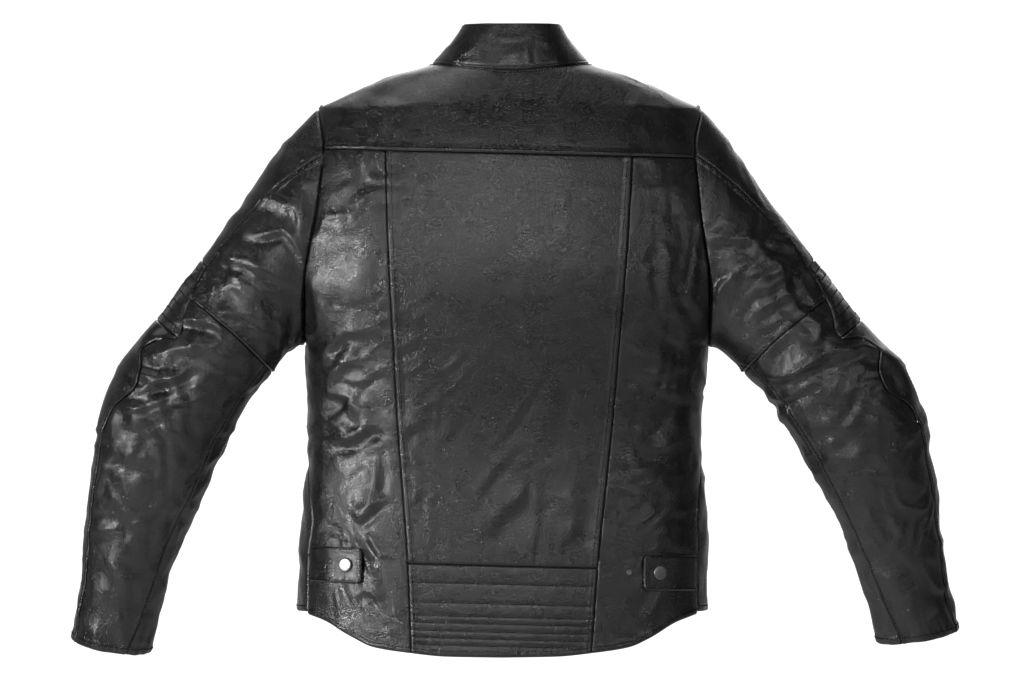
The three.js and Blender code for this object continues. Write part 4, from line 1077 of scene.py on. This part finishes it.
CUFF_ZIP = 84
cuff_frames = {}
LEFT_FOLDS = [
    (-300, 380, 40, 60, -35, 25, 9, 45, 6, 1.3, 7), (-385, 290, 50, 45, 10, 30, 10, 45, 6, 1.3, 8),
    (-400, 150, 40, 100, 60, 35, 12, 50, 8, 1.4, 9),
]
LEFT_DRAPES = [
    (3.6, 6, (-306, 474), (-287, 474), (-267, 477), (-256, 480), (-243, 468), (-233, 447), (-230, 431)),
    (3.0, 8, (-300, 458), (-290, 444), (-276, 434), (-258, 426), (-234, 421)),
    (3.2, 9, (-326, 450), (-310, 446), (-290, 438), (-276, 424)),
    (3.4, 12, (-326, 430), (-306, 424), (-298, 404), (-284, 386)),
    (2.4, 9, (-288, 376), (-270, 380), (-252, 372)),
    (2.2, 7, (-304, 510), (-287, 521), (-270, 517)),
    (2.0, 9, (-258, 540), (-253, 565), (-246, 590)),
    (3.0, 9, (-262, 512), (-246, 508), (-236, 490), (-234, 466)),
    (4.0, 7, (-418, 330), (-414, 350), (-400, 367), (-382, 376), (-361, 379), (-342, 377), (-322, 368),
     (-304, 352)),
    (4.0, 8, (-424, 300), (-405, 307), (-380, 314), (-366, 322), (-352, 336)),
    (3.0, 10, (-410, 334), (-390, 342), (-350, 350), (-320, 338), (-276, 336)),
    (3.4, 14, (-448, 310), (-432, 296), (-424, 274), (-420, 250)),
    (2.4, 10, (-400, 282), (-350, 290), (-306, 306)),
    (2.4, 10, (-446, 236), (-420, 222), (-396, 226)),
    (2.2, 10, (-440, 170), (-424, 150), (-404, 150)),
    (2.0, 12, (-462, 118), (-446, 96), (-430, 70)),
]
RIGHT_FOLDS = [
    (300, 380, 40, 60, 35, 25, 9, 45, 6, 1.3, 12), (385, 290, 50, 45, -10, 30, 10, 45, 6, 1.3, 13),
    (400, 150, 40, 100, -60, 35, 12, 50, 8, 1.4, 14),
]
RIGHT_DRAPES = [
    (3.0, 8, (212, 474), (238, 471), (264, 470), (290, 456)),
    (3.8, 7, (236, 440), (250, 430), (236, 412), (234, 388)),
    (3.0, 9, (262, 412), (290, 416), (306, 428), (324, 442)),
    (2.8, 9, (270, 384), (296, 400), (324, 416)),
    (2.6, 9, (244, 570), (256, 545), (268, 528), (300, 502)),
    (2.4, 8, (306, 474), (324, 458), (344, 442)),
    (3.0, 8, (340, 346), (348, 364), (352, 386)),
    (5.2, 8, (350, 338), (372, 341), (395, 347), (414, 341), (435, 326), (451, 298), (461, 262)),
    (3.6, 9, (280, 314), (308, 317), (340, 331), (362, 352)),
    (3.0, 7, (284, 300), (303, 290), (331, 303), (352, 316)),
    (3.0, 12, (350, 286), (380, 296), (410, 312), (432, 306)),
    (2.4, 10, (330, 250), (362, 262), (392, 254)),
    (2.4, 10, (380, 216), (404, 230), (434, 214)),
    (2.0, 10, (400, 150), (420, 160), (446, 140)),
    (2.0, 12, (430, 70), (446, 96), (462, 118)),
]


for which, side, arm_folds, arm_drapes in (("left", -1, LEFT_FOLDS, LEFT_DRAPES),
                                            ("right", 1, RIGHT_FOLDS, RIGHT_DRAPES)):
    place = sleeve(side)
    mirror = np.array([side, 1, 1])
    upper_middle = arm_middle(np.float64(2)) * mirror
    lower_middle = arm_middle(np.float64(7.5)) * mirror

    def arm_relief(p):
        """The folds and drapes of this sleeve."""
        return folds(p, arm_folds) + draped(p, arm_drapes)

    def ribbed(p):
        """Seven sewn ribs over the elbow's outer side, flat at their ends."""
        walk = distances(p)
        share = walk[2] / (walk[2][-1:] + 1e-9)
        across = np.minimum(walk[0], walk[1])
        groove = np.exp(-((np.sin(PI * 8 * share) / 0.2) ** 2))
        return (0.9 - 1.3 * groove) * smooth((across - 1.5) / 5) + arm_relief(p) * 0.25

    # a cord of leather closes the armhole seam from inside
    line = armhole(side, np.linspace(0, 2 * PI, 180, endpoint=False))
    out = (line - [side * 120, 5, 0]) * [1, 1, 0]
    out /= np.linalg.norm(out, axis=-1, keepdims=True)
    beside = np.cross(out, np.roll(line, -1, 0) - np.roll(line, 1, 0))
    beside /= np.linalg.norm(beside, axis=-1, keepdims=True)
    phase = np.linspace(0, 2 * PI, 10, endpoint=False)[None, :, None]
    rings = line[:, None] + out[:, None] * (2.4 * np.cos(phase) - 4.6) + beside[:, None] * 3.4 * np.sin(phase)
    cord = tube_mesh(f"armhole_binding_{which}", rings, leather, ring=True)
    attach(cord, "torso")

    top, *_ = cut_leather(
        f"sleeve_top_{which}", place, lambda t: -top_seam(t), top_seam, steady(0), steady(RIBS_START),
        (95, 175), 2.3, upper_middle, f"upper_{which}", {"low": ("deep", 0)}, 91 + side,
        lambda p: arm_relief(p) * 0.45 - hide(p) * 0.45,
    )
    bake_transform(top)
    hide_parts(f"top_sleeve_{which}")

    under, *_ = cut_leather(
        f"sleeve_under_{which}", place, top_seam, lambda t: 2 * PI - top_seam(t), steady(0), cross_seam,
        (330, 190), 2.2, upper_middle, f"upper_{which}",
        {"left": ("gathered", (1.9, 4.7)), "right": ("gathered", (1.9, 4.7)), "high": ("gathered", 3.4),
         "low": ("deep", 0)}, 101 + side, arm_relief,
    )
    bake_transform(under)
    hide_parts(f"under_sleeve_{which}")

    ribs, q, n = cut_leather(
        f"elbow_ribs_{which}", place, lambda t: -top_seam(t), top_seam, steady(RIBS_START),
        steady(RIBS_END), (60, 85), 1.25, lower_middle, f"lower_{which}", {}, 111 + side, ribbed,
    )
    for share in np.arange(1, 8) / 8:
        down = distances(q)[2][:, 20]
        row = np.argmin(np.abs(down / down[-1] - share))
        stitch_lines.setdefault(f"lower_{which}", []).append((q[row, 6:-6], n[row, 6:-6]))
    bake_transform(ribs)
    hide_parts(f"elbow_outer_panel_{which}")

    outer, *_ = cut_leather(
        f"forearm_outer_{which}", place, lambda t: -top_seam(t), top_seam, steady(RIBS_END),
        steady(CUFF), (48, 350), 2.4, lower_middle, f"lower_{which}",
        {"left": ("over", 2.6), "right": ("over", 2.6), "high": ("hem", 8)}, 121 + side, arm_relief,
    )
    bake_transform(outer)

    back, *_ = cut_leather(
        f"forearm_back_{which}", place, lambda t: 2 * PI - inner_seam(t), lambda t: 2 * PI - top_seam(t),
        cross_seam, steady(CUFF), (135, 420), 2.4, lower_middle, f"lower_{which}",
        {"left": ("over", 2.6), "high": ("hem", 8)}, 131 + side, arm_relief,
    )
    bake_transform(back)
    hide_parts(f"forearm_back_panel_{which}", f"elbow_inner_panel_{which}")

    def cuff_frame():
        """The cuff's zip runs straight up the front of the forearm from just above the cuff's edge."""
        walk = place(np.linspace(CUFF, 7, 401), 2.2)
        gone = np.concatenate([[0], np.cumsum(np.linalg.norm(np.diff(walk, axis=0), axis=-1))])
        low, high, middle = (np.array([np.interp(d, gone, walk[:, k]) for k in range(3)])
                             for d in (4, CUFF_ZIP + 4, CUFF_ZIP / 2 + 4))
        t = np.interp(CUFF_ZIP / 2 + 4, gone, np.linspace(CUFF, 7, 401))
        out = np.cross(place(t, 2.201) - place(t, 2.199), high - low)
        out *= np.sign(out[1]) / np.linalg.norm(out)
        return axes(low + out * min(0, (middle - (low + high) / 2) @ out), out, high - low)

    cuff = cuff_frame()
    front, *_ = cut_leather(
        f"forearm_front_{which}", place, top_seam, lambda t: 2 * PI - inner_seam(t), cross_seam,
        steady(CUFF), (250, 380), 2.7, lower_middle, f"lower_{which}",
        {"high": ("hem", 8)}, 141 + side, arm_relief, keep=lambda p: within(p, cuff, 7.5, -3, CUFF_ZIP + 3),
    )
    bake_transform(front)
    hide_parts(f"forearm_front_panel_{which}")
    rim = welt(f"cuff_welt_{which}", cuff, CUFF_ZIP, 8)
    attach(rim, f"forearm_{which}")
    cuff_frames[which] = cuff

# ---- Zips -----------------------------------------------------------------------------------------
# Metal-toothed zips on woven tape: the main one up the front, one on each hand pocket and one at each
# cuff. The teeth of a closed pair alternate across the middle. Sliders and pulls are blackened too.


def woven(name, colour, threads, depth, rough=0.75):
    """Plain-woven cloth: two sets of fine ribs in the bump and a mottled colour."""
    material, tree, shader, place = finish(name)
    shader.inputs["Roughness"].default_value = rough
    shader.inputs["Sheen Weight"].default_value = 0.15
    normal = None
    for direction in ("X", "Z"):
        rib = texture(tree, place, "ShaderNodeTexWave", threads)
        rib.bands_direction = direction
        rib.inputs["Distortion"].default_value = 0.6
        normal = bumped(tree, rib.outputs["Fac"], depth, 0.7, normal)
    tree.links.new(normal, shader.inputs["Normal"])
    mottle = texture(tree, place, "ShaderNodeTexNoise", 260)
    two_tone(tree, shader, mottle.outputs[0], colour, 0.7, 1.35)
    return material


tape_cloth = woven("zip_tape_weave", (0.012, 0.012, 0.013), 260, 0.00015)
zip_metal = blackened("zip_gunmetal", (0.2, 0.2, 0.205), 0.33, 700)


def sunk(where):
    """The frame of a zip's chain, under the face of the leather."""
    origin, turn = where
    return origin - turn[1] * ZIP_DEPTH, turn


def zip_tape(name, where, length, x0, x1, moves):
    """A flat strip of tape, slightly thicker where the cord along its inner edge holds the teeth."""
    origin, turn = where
    u, v = np.meshgrid(np.linspace(0, 1, 13), np.linspace(0, 1, max(3, int(length / 4))))
    x = mix(x0, x1, u)
    cord = 0.45 * np.exp(-(((np.abs(x) - 1.6) / 0.9) ** 2))
    ripple = 0.12 * np.sin(v * length / 9) * u
    tape = sheet_mesh(name, np.stack([x, 0.1 + cord + ripple, v * length], -1) @ turn + origin,
                      origin - turn[1] * 40, tape_cloth, 0.9)
    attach(tape, moves)
    return tape


def zip_teeth(name, where, length, rows, moves, pitch=2.9):
    """Every tooth of a chain: a small bevelled block with a bump at its nose, repeated along the tape."""
    origin, turn = where
    slices = (-0.3, 0.9, 0.5), (0.5, 1.2, 0.62), (1.9, 1.2, 0.62), (2.4, 0.8, 0.5)
    block = np.array([[x, y, z] for x, h, w in slices for y, z in ((-h, -w), (-h, w), (h, w), (h, -w))])
    loops = [[4 * k + a, 4 * k + b, 4 * k + 4 + b, 4 * k + 4 + a] for k in range(3)
             for a, b in ((0, 1), (1, 2), (2, 3), (3, 0))]
    faces = np.array(loops + [[3, 2, 1, 0], [12, 13, 14, 15]])
    points = []
    for side in rows:
        z = np.arange(3.5 + (pitch / 2 if side > 0 else 0), length - 3, pitch)
        local = block * [side, 1, 1]
        if side < 0:
            local = local * [1, 1, -1]
        points.append(local[None] + np.stack([0 * z + side * 0.35, 0 * z, z], -1)[:, None])
    points = np.concatenate(points)
    count = len(points)
    points = points.reshape(-1, 3) @ turn + origin
    quads = (faces[None] + np.arange(count)[:, None, None] * 16).reshape(-1, 4)
    first = points[quads[:14]] - points[:16].mean(0)
    outward = np.einsum("ij,ij->i", first[:, 0], np.cross(first[:, 1], first[:, 2])).sum()
    teeth = new_piece(name, points, (quads if outward > 0 else quads[:, ::-1]).tolist(), zip_metal, False)
    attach(teeth, moves)


def main_frame(z):
    """The main zip leans with the front."""
    return axes(torso(np.float64(z), PI / 2), np.array([0, 1.0, 0]), np.array([LEAN_LEFT, -LEAN_BACK, 1.0]))


ZIP_LOW, ZIP_HIGH = FRONT_HEM + 6, CHIN - 8
main_zip = sunk(main_frame(ZIP_LOW))
main_length = (ZIP_HIGH - ZIP_LOW) * np.sqrt(1 + LEAN_LEFT**2 + LEAN_BACK**2)
for which, side in (("left", -1), ("right", 1)):
    tape = zip_tape(f"main_tape_{which}", main_zip, main_length, -side * 0.7, -side * 13, "torso")
    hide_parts(f"front_zip_tape_{which}")
    zip_teeth(f"main_teeth_{which}", main_zip, main_length, (-side,), "torso")
    pocket_zip = sunk(pocket_frame(side))
    tape = zip_tape(f"pocket_tape_{which}", pocket_zip, POCKET_LENGTH, -13, 13, "torso")
    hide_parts(f"pocket_zip_tape_{which}")
    zip_teeth(f"pocket_teeth_{which}", pocket_zip, POCKET_LENGTH, (-1, 1), "torso")

    cuff_zip = sunk(cuff_frames[which])
    tape = zip_tape(f"cuff_tape_{which}", cuff_zip, CUFF_ZIP, -8.4, 8.4, f"forearm_{which}")
    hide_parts(f"cuff_zip_tape_{which}")
    zip_teeth(f"cuff_teeth_{which}", cuff_zip, CUFF_ZIP, (-1, 1), f"forearm_{which}", 2.4)

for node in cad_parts.values():
    if "slider" in node.name or "zip_pull" in node.name:
        for slot in node.material_slots:
            slot.material = zip_metal
        joined = node.modifiers.new("joined", "WELD")
        joined.merge_threshold = 1e-5
        soft = node.modifiers.new("soft", "BEVEL")
        soft.width, soft.segments, soft.limit_method = 0.00022, 2, "ANGLE"

# ---- Lining, armour and pockets -------------------------------------------------------------------
# Quilted lining hangs free inside the shell. Shaped foam pads lie between the two at back, shoulders
# and elbows, and the pocket bags hang behind the hand pockets.

lining_cloth = woven("quilted_lining", (0.022, 0.022, 0.024), 420, 0.0001, 0.6)
foam_cover = woven("pad_cover", (0.045, 0.047, 0.052), 300, 0.00018, 0.85)


def quilted(p):
    """Puffed diamonds between two crossing sets of stitch lines 44 mm apart."""
    a, b = (p[..., 0] + p[..., 2]) * PI / 44, (p[..., 0] - p[..., 2]) * PI / 44
    return 1.5 * np.minimum(np.abs(np.sin(a)), np.abs(np.sin(b))) ** 0.55


def lining_sheet(name, p, inside, moves, wrap=False):
    """A lining panel: the shell's own surface set in by a gap, quilted."""
    n = normals(p, inside)
    piece = sheet_mesh(name, p - n * (8.3 + quilted(p))[..., None], inside, lining_cloth, 0.8, wrap)
    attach(piece, moves)
    return piece


def lining_edge(z):
    """The back lining's side edge: on the side line low down, and along the shell's edge above."""
    return np.where(z > UNDERARM, back_edge(z), side_front(z) * (1 - smooth((z - UNDERARM + 60) / 60)))


coarse = np.linspace(0.018, 0.982, 74), np.linspace(0.012, 0.988, 100)
back_lining = lining_sheet("lining_of_back", between(
    lambda z: back_half(-1, lining_edge(z)), lining_edge, lambda a: hem(a) + 16, lambda a: neck_seam(a) - 5,
    *coarse, torso), trunk, "torso")
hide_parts("lining_back")
for which, side in (("left", -1), ("right", 1)):
    front_lining = lining_sheet(f"lining_of_front_{which}", between(
        lambda z: turned_to(side, front_edge(z)), lambda z: turned_to(side, zip_field(17)(z)),
        steady(FRONT_HEM + 16), lambda a: np.minimum(neck_seam(a) - 5, SHOULDER - 13),
        coarse[0][::2], coarse[1], torso), trunk, "torso")
    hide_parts(f"lining_front_{which}")
    place, mirror = sleeve(side), np.array([side, 1, 1])
    for part, node, first, last, moves in (("sleeve", "sleeve_lining", 0.35, 3.93, "upper_sleeve"),
                                           ("forearm", "forearm_lining", 6.52, 10.68, "forearm")):
        u, v = np.meshgrid(np.linspace(0, 2 * PI, 60, endpoint=False), np.linspace(first, last, 50))
        middle = arm_middle(np.float64((first + last) / 2)) * mirror
        tube = lining_sheet(f"lining_of_{part}_{which}", place(v, u), middle, f"{moves}_{which}", wrap=True)
        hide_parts(f"{node}_{which}")


def pad(name, p, inside, depth, thick, moves, node):
    """A moulded pad: two faces over a grid, far apart in the middle and meeting at a thin rim, with a
    waffle of shallow grooves on the outer face."""
    n = normals(p, inside)
    u, v = np.meshgrid(np.linspace(-1, 1, p.shape[1]), np.linspace(-1, 1, p.shape[0]))
    rim = np.clip(1 - np.maximum(np.abs(u) ** 5, np.abs(v) ** 5), 0, 1) ** 0.5
    l, r, b, t = distances(p)
    grooves = [np.exp(-((np.sin(d * PI / 17) / 0.13) ** 2)) for d in (l, b)]
    waffle = 0.7 * (grooves[0] + grooves[1])
    high = p - n * (depth + thick / 2 - (thick / 2 - 0.2) * rim + waffle * rim)[..., None]
    low = p - n * (depth + thick / 2 + (thick / 2 - 0.2) * rim + 0.15)[..., None]
    piece = tube_mesh(name, np.concatenate([high, low[:, ::-1]], 1), foam_cover)
    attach(piece, moves)
    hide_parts(node)


FOAM_DEPTH, FOAM = 14.4, 8
grid = np.linspace(0, 1, 56)


def back_pad_edge(z):
    """The back pad's right edge, inside the long seam."""
    return angle_at(z, long_seam_x(z) * 0.88, -1)


pad("back_pad", between(
    lambda z: back_half(-1, back_pad_edge(z)), back_pad_edge, steady(147), lambda a: yoke_seam(a) - 24,
    grid, np.linspace(0, 1, 90), torso), trunk, FOAM_DEPTH, FOAM, "torso", "back_protector")
for which, side in (("left", -1), ("right", 1)):
    place, mirror = sleeve(side), np.array([side, 1, 1])
    for part, a0, a1, t0, t1, moves in (("shoulder", -39, 39, 0.6, 2.9, "upper_sleeve"),
                                        ("elbow", -92, 2, 5.2, 7.9, "forearm")):
        u, v = np.meshgrid(np.radians(np.linspace(a0, a1, 40)), np.linspace(t0, t1, 40))
        middle = arm_middle(np.float64((t0 + t1) / 2)) * mirror
        pad(f"{part}_pad_{which}", place(v, u), middle, FOAM_DEPTH, FOAM, f"{moves}_{which}",
            f"{part}_protector_{which}")
    bag_at = between(
        lambda z: turned_to(side, angle_at(z, POCKET_LOW * half_width(z) + 29, 1)),
        lambda z: turned_to(side, zip_field(45)(z)), steady(POCKET_Z - 25),
        steady(POCKET_Z + POCKET_LENGTH + 5), np.linspace(0, 1, 40), np.linspace(0, 1, 50), torso)
    n = normals(bag_at, trunk)
    u, v = np.meshgrid(np.linspace(-1, 1, 40), np.linspace(-1, 1, 50))
    slack = 0.5 * np.sin(bag_at[..., 2] / 13 + 2 * u) + 0.4 * np.cos(bag_at[..., 0] / 9)
    slack = slack * (1 - u**4) * (1 - v**4)
    bag_at = bag_at - n * (FOAM_DEPTH + 0.1) + n * (slack * 0.35)[..., None]
    bag = sheet_mesh(f"pocket_bag_of_{which}", bag_at, trunk, lining_cloth, 0.9)
    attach(bag, "torso")
    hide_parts(f"pocket_bag_{which}")

origin, turn = main_zip
u, v = np.meshgrid(np.linspace(-13.5, 29.5, 16), np.linspace(8.5, (FRONT_NECK - 20 - ZIP_LOW) * 1.0024, 160))
face = ZIP_DEPTH - 8.9 - 0.6
flap = sheet_mesh("wind_flap", np.stack([u, face - 0.4 + 0.3 * np.sin(v / 23), v], -1) @ turn + origin,
                  origin - turn[1] * 60, leather, 1.0)
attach(flap, "torso")
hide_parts("storm_flap")

# ---- Hanging loop ---------------------------------------------------------------------------------
# A strip of the same leather, folded and bowed off the inside of the neck, its ends sewn flat.

loop_low, loop_high = (np.array(c) * 1000 - LOOP_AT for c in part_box("hanging_loop"))
u = np.linspace(0, 1, 72)
bow = smooth((np.minimum(u, 1 - u) - 0.14) / 0.3)
line = np.stack([mix(loop_low[0], loop_high[0], u), mix(loop_low[1] + 0.8, loop_high[1] - 0.8, bow),
                 0 * u + (loop_low[2] + loop_high[2]) / 2], -1)
ahead = np.gradient(line, axis=0)
ahead /= np.linalg.norm(ahead, axis=-1, keepdims=True)
across = np.cross(ahead, [0, 0, 1.0])
phase = np.linspace(0, 2 * PI, 20, endpoint=False)
thick, tall = (0.75 * np.sign(np.sin(phase)) * np.abs(np.sin(phase)) ** 0.6,
               (loop_high[2] - loop_low[2]) / 2 * np.sign(np.cos(phase)) * np.abs(np.cos(phase)) ** 0.35)
rings = line[:, None] + across[:, None] * thick[None, :, None] + np.array([0, 0, 1.0]) * tall[None, :, None]
loop = tube_mesh("neck_loop", rings, leather)
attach(loop, "torso")
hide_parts("hanging_loop")

# ---- Stitching ------------------------------------------------------------------------------------
# Black bonded thread, about three stitches to the centimetre. Each stitch is a short plump bead whose
# ends dip into its needle holes. The thread's colour is black, and is set darker than the hide's as
# painted shade of the needle holes.

thread, tree, shader, place = finish("thread_with_painted_hole_shade")
# the thread's own black, darkened below the hide's colour as painted shade of its needle holes
shader.inputs["Base Color"].default_value = (0.003, 0.003, 0.003, 1)
shader.inputs["Roughness"].default_value = 0.8
shader.inputs["Specular IOR Level"].default_value = 0.08
twist = texture(tree, place, "ShaderNodeTexNoise", 2500)
tree.links.new(bumped(tree, twist.outputs[0], 0.0001, 1.0), shader.inputs["Normal"])

PITCH, STITCH, THREAD = 3.1, 2.0, 0.42  # from stitch to stitch, one stitch's length, half its height


def stitched(name, lines):
    """Every stitch of one set of lines as a bead of five sides between two points, laid at even steps
    along its line and turned to lie on the leather."""
    spin = np.linspace(0, 2 * PI, 5, endpoint=False)
    ring = np.stack([0 * spin, np.cos(spin), np.sin(spin)], -1)
    shoulder = [0.28, 0, 0]
    bead = np.concatenate([[[-0.5, 0, -0.5]], ring - shoulder, ring + shoulder, [[0.5, 0, -0.5]]])
    bead = bead * [STITCH, THREAD * 1.5, THREAD]
    i = np.arange(5)
    j = (i + 1) % 5
    faces = [[0, 1 + b, 1 + a] for a, b in zip(i, j)] + [[6 + a, 6 + b, 11] for a, b in zip(i, j)]
    sides = [[1 + a, 1 + b, 6 + b, 6 + a] for a, b in zip(i, j)]
    points, count = [], 0
    for line, up in lines:
        gone = np.concatenate([[0], np.cumsum(np.linalg.norm(np.diff(line, axis=0), axis=-1))])
        at = np.arange(PITCH, gone[-1] - PITCH, PITCH)
        middle = np.stack([np.interp(at, gone, line[:, k]) for k in range(3)], -1)
        ahead = np.stack([np.interp(at + 0.8, gone, line[:, k]) - np.interp(at - 0.8, gone, line[:, k])
                          for k in range(3)], -1)
        out = np.stack([np.interp(at, gone, up[:, k]) for k in range(3)], -1)
        ahead /= np.linalg.norm(ahead, axis=-1, keepdims=True)
        across = np.cross(out, ahead)
        across /= np.linalg.norm(across, axis=-1, keepdims=True)
        turn = np.stack([ahead, across, np.cross(ahead, across)], 1)
        points.append(np.einsum("vk,nkj->nvj", bead, turn) + (middle + out * 0.2)[:, None])
        count += len(at)
    points = np.concatenate(points).reshape(-1, 3)
    start = np.arange(count)[:, None, None] * len(bead)
    tips = (start + np.array(faces)[None]).reshape(-1, 3).tolist()
    flanks = (start + np.array(sides)[None]).reshape(-1, 4).tolist()
    piece = new_piece(name, points, tips + flanks, thread)
    return piece


for moves, lines in stitch_lines.items():
    seams = stitched(f"stitches_{moves}", lines)
    which = moves.split("_")[-1]
    side = -1 if which == "left" else 1
    if moves == "torso":
        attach(seams, "torso")
    elif moves.startswith("waist"):
        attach(seams, f"strap_{which}")
    elif moves.startswith("upper"):
        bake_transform(seams)
    else:
        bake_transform(seams)
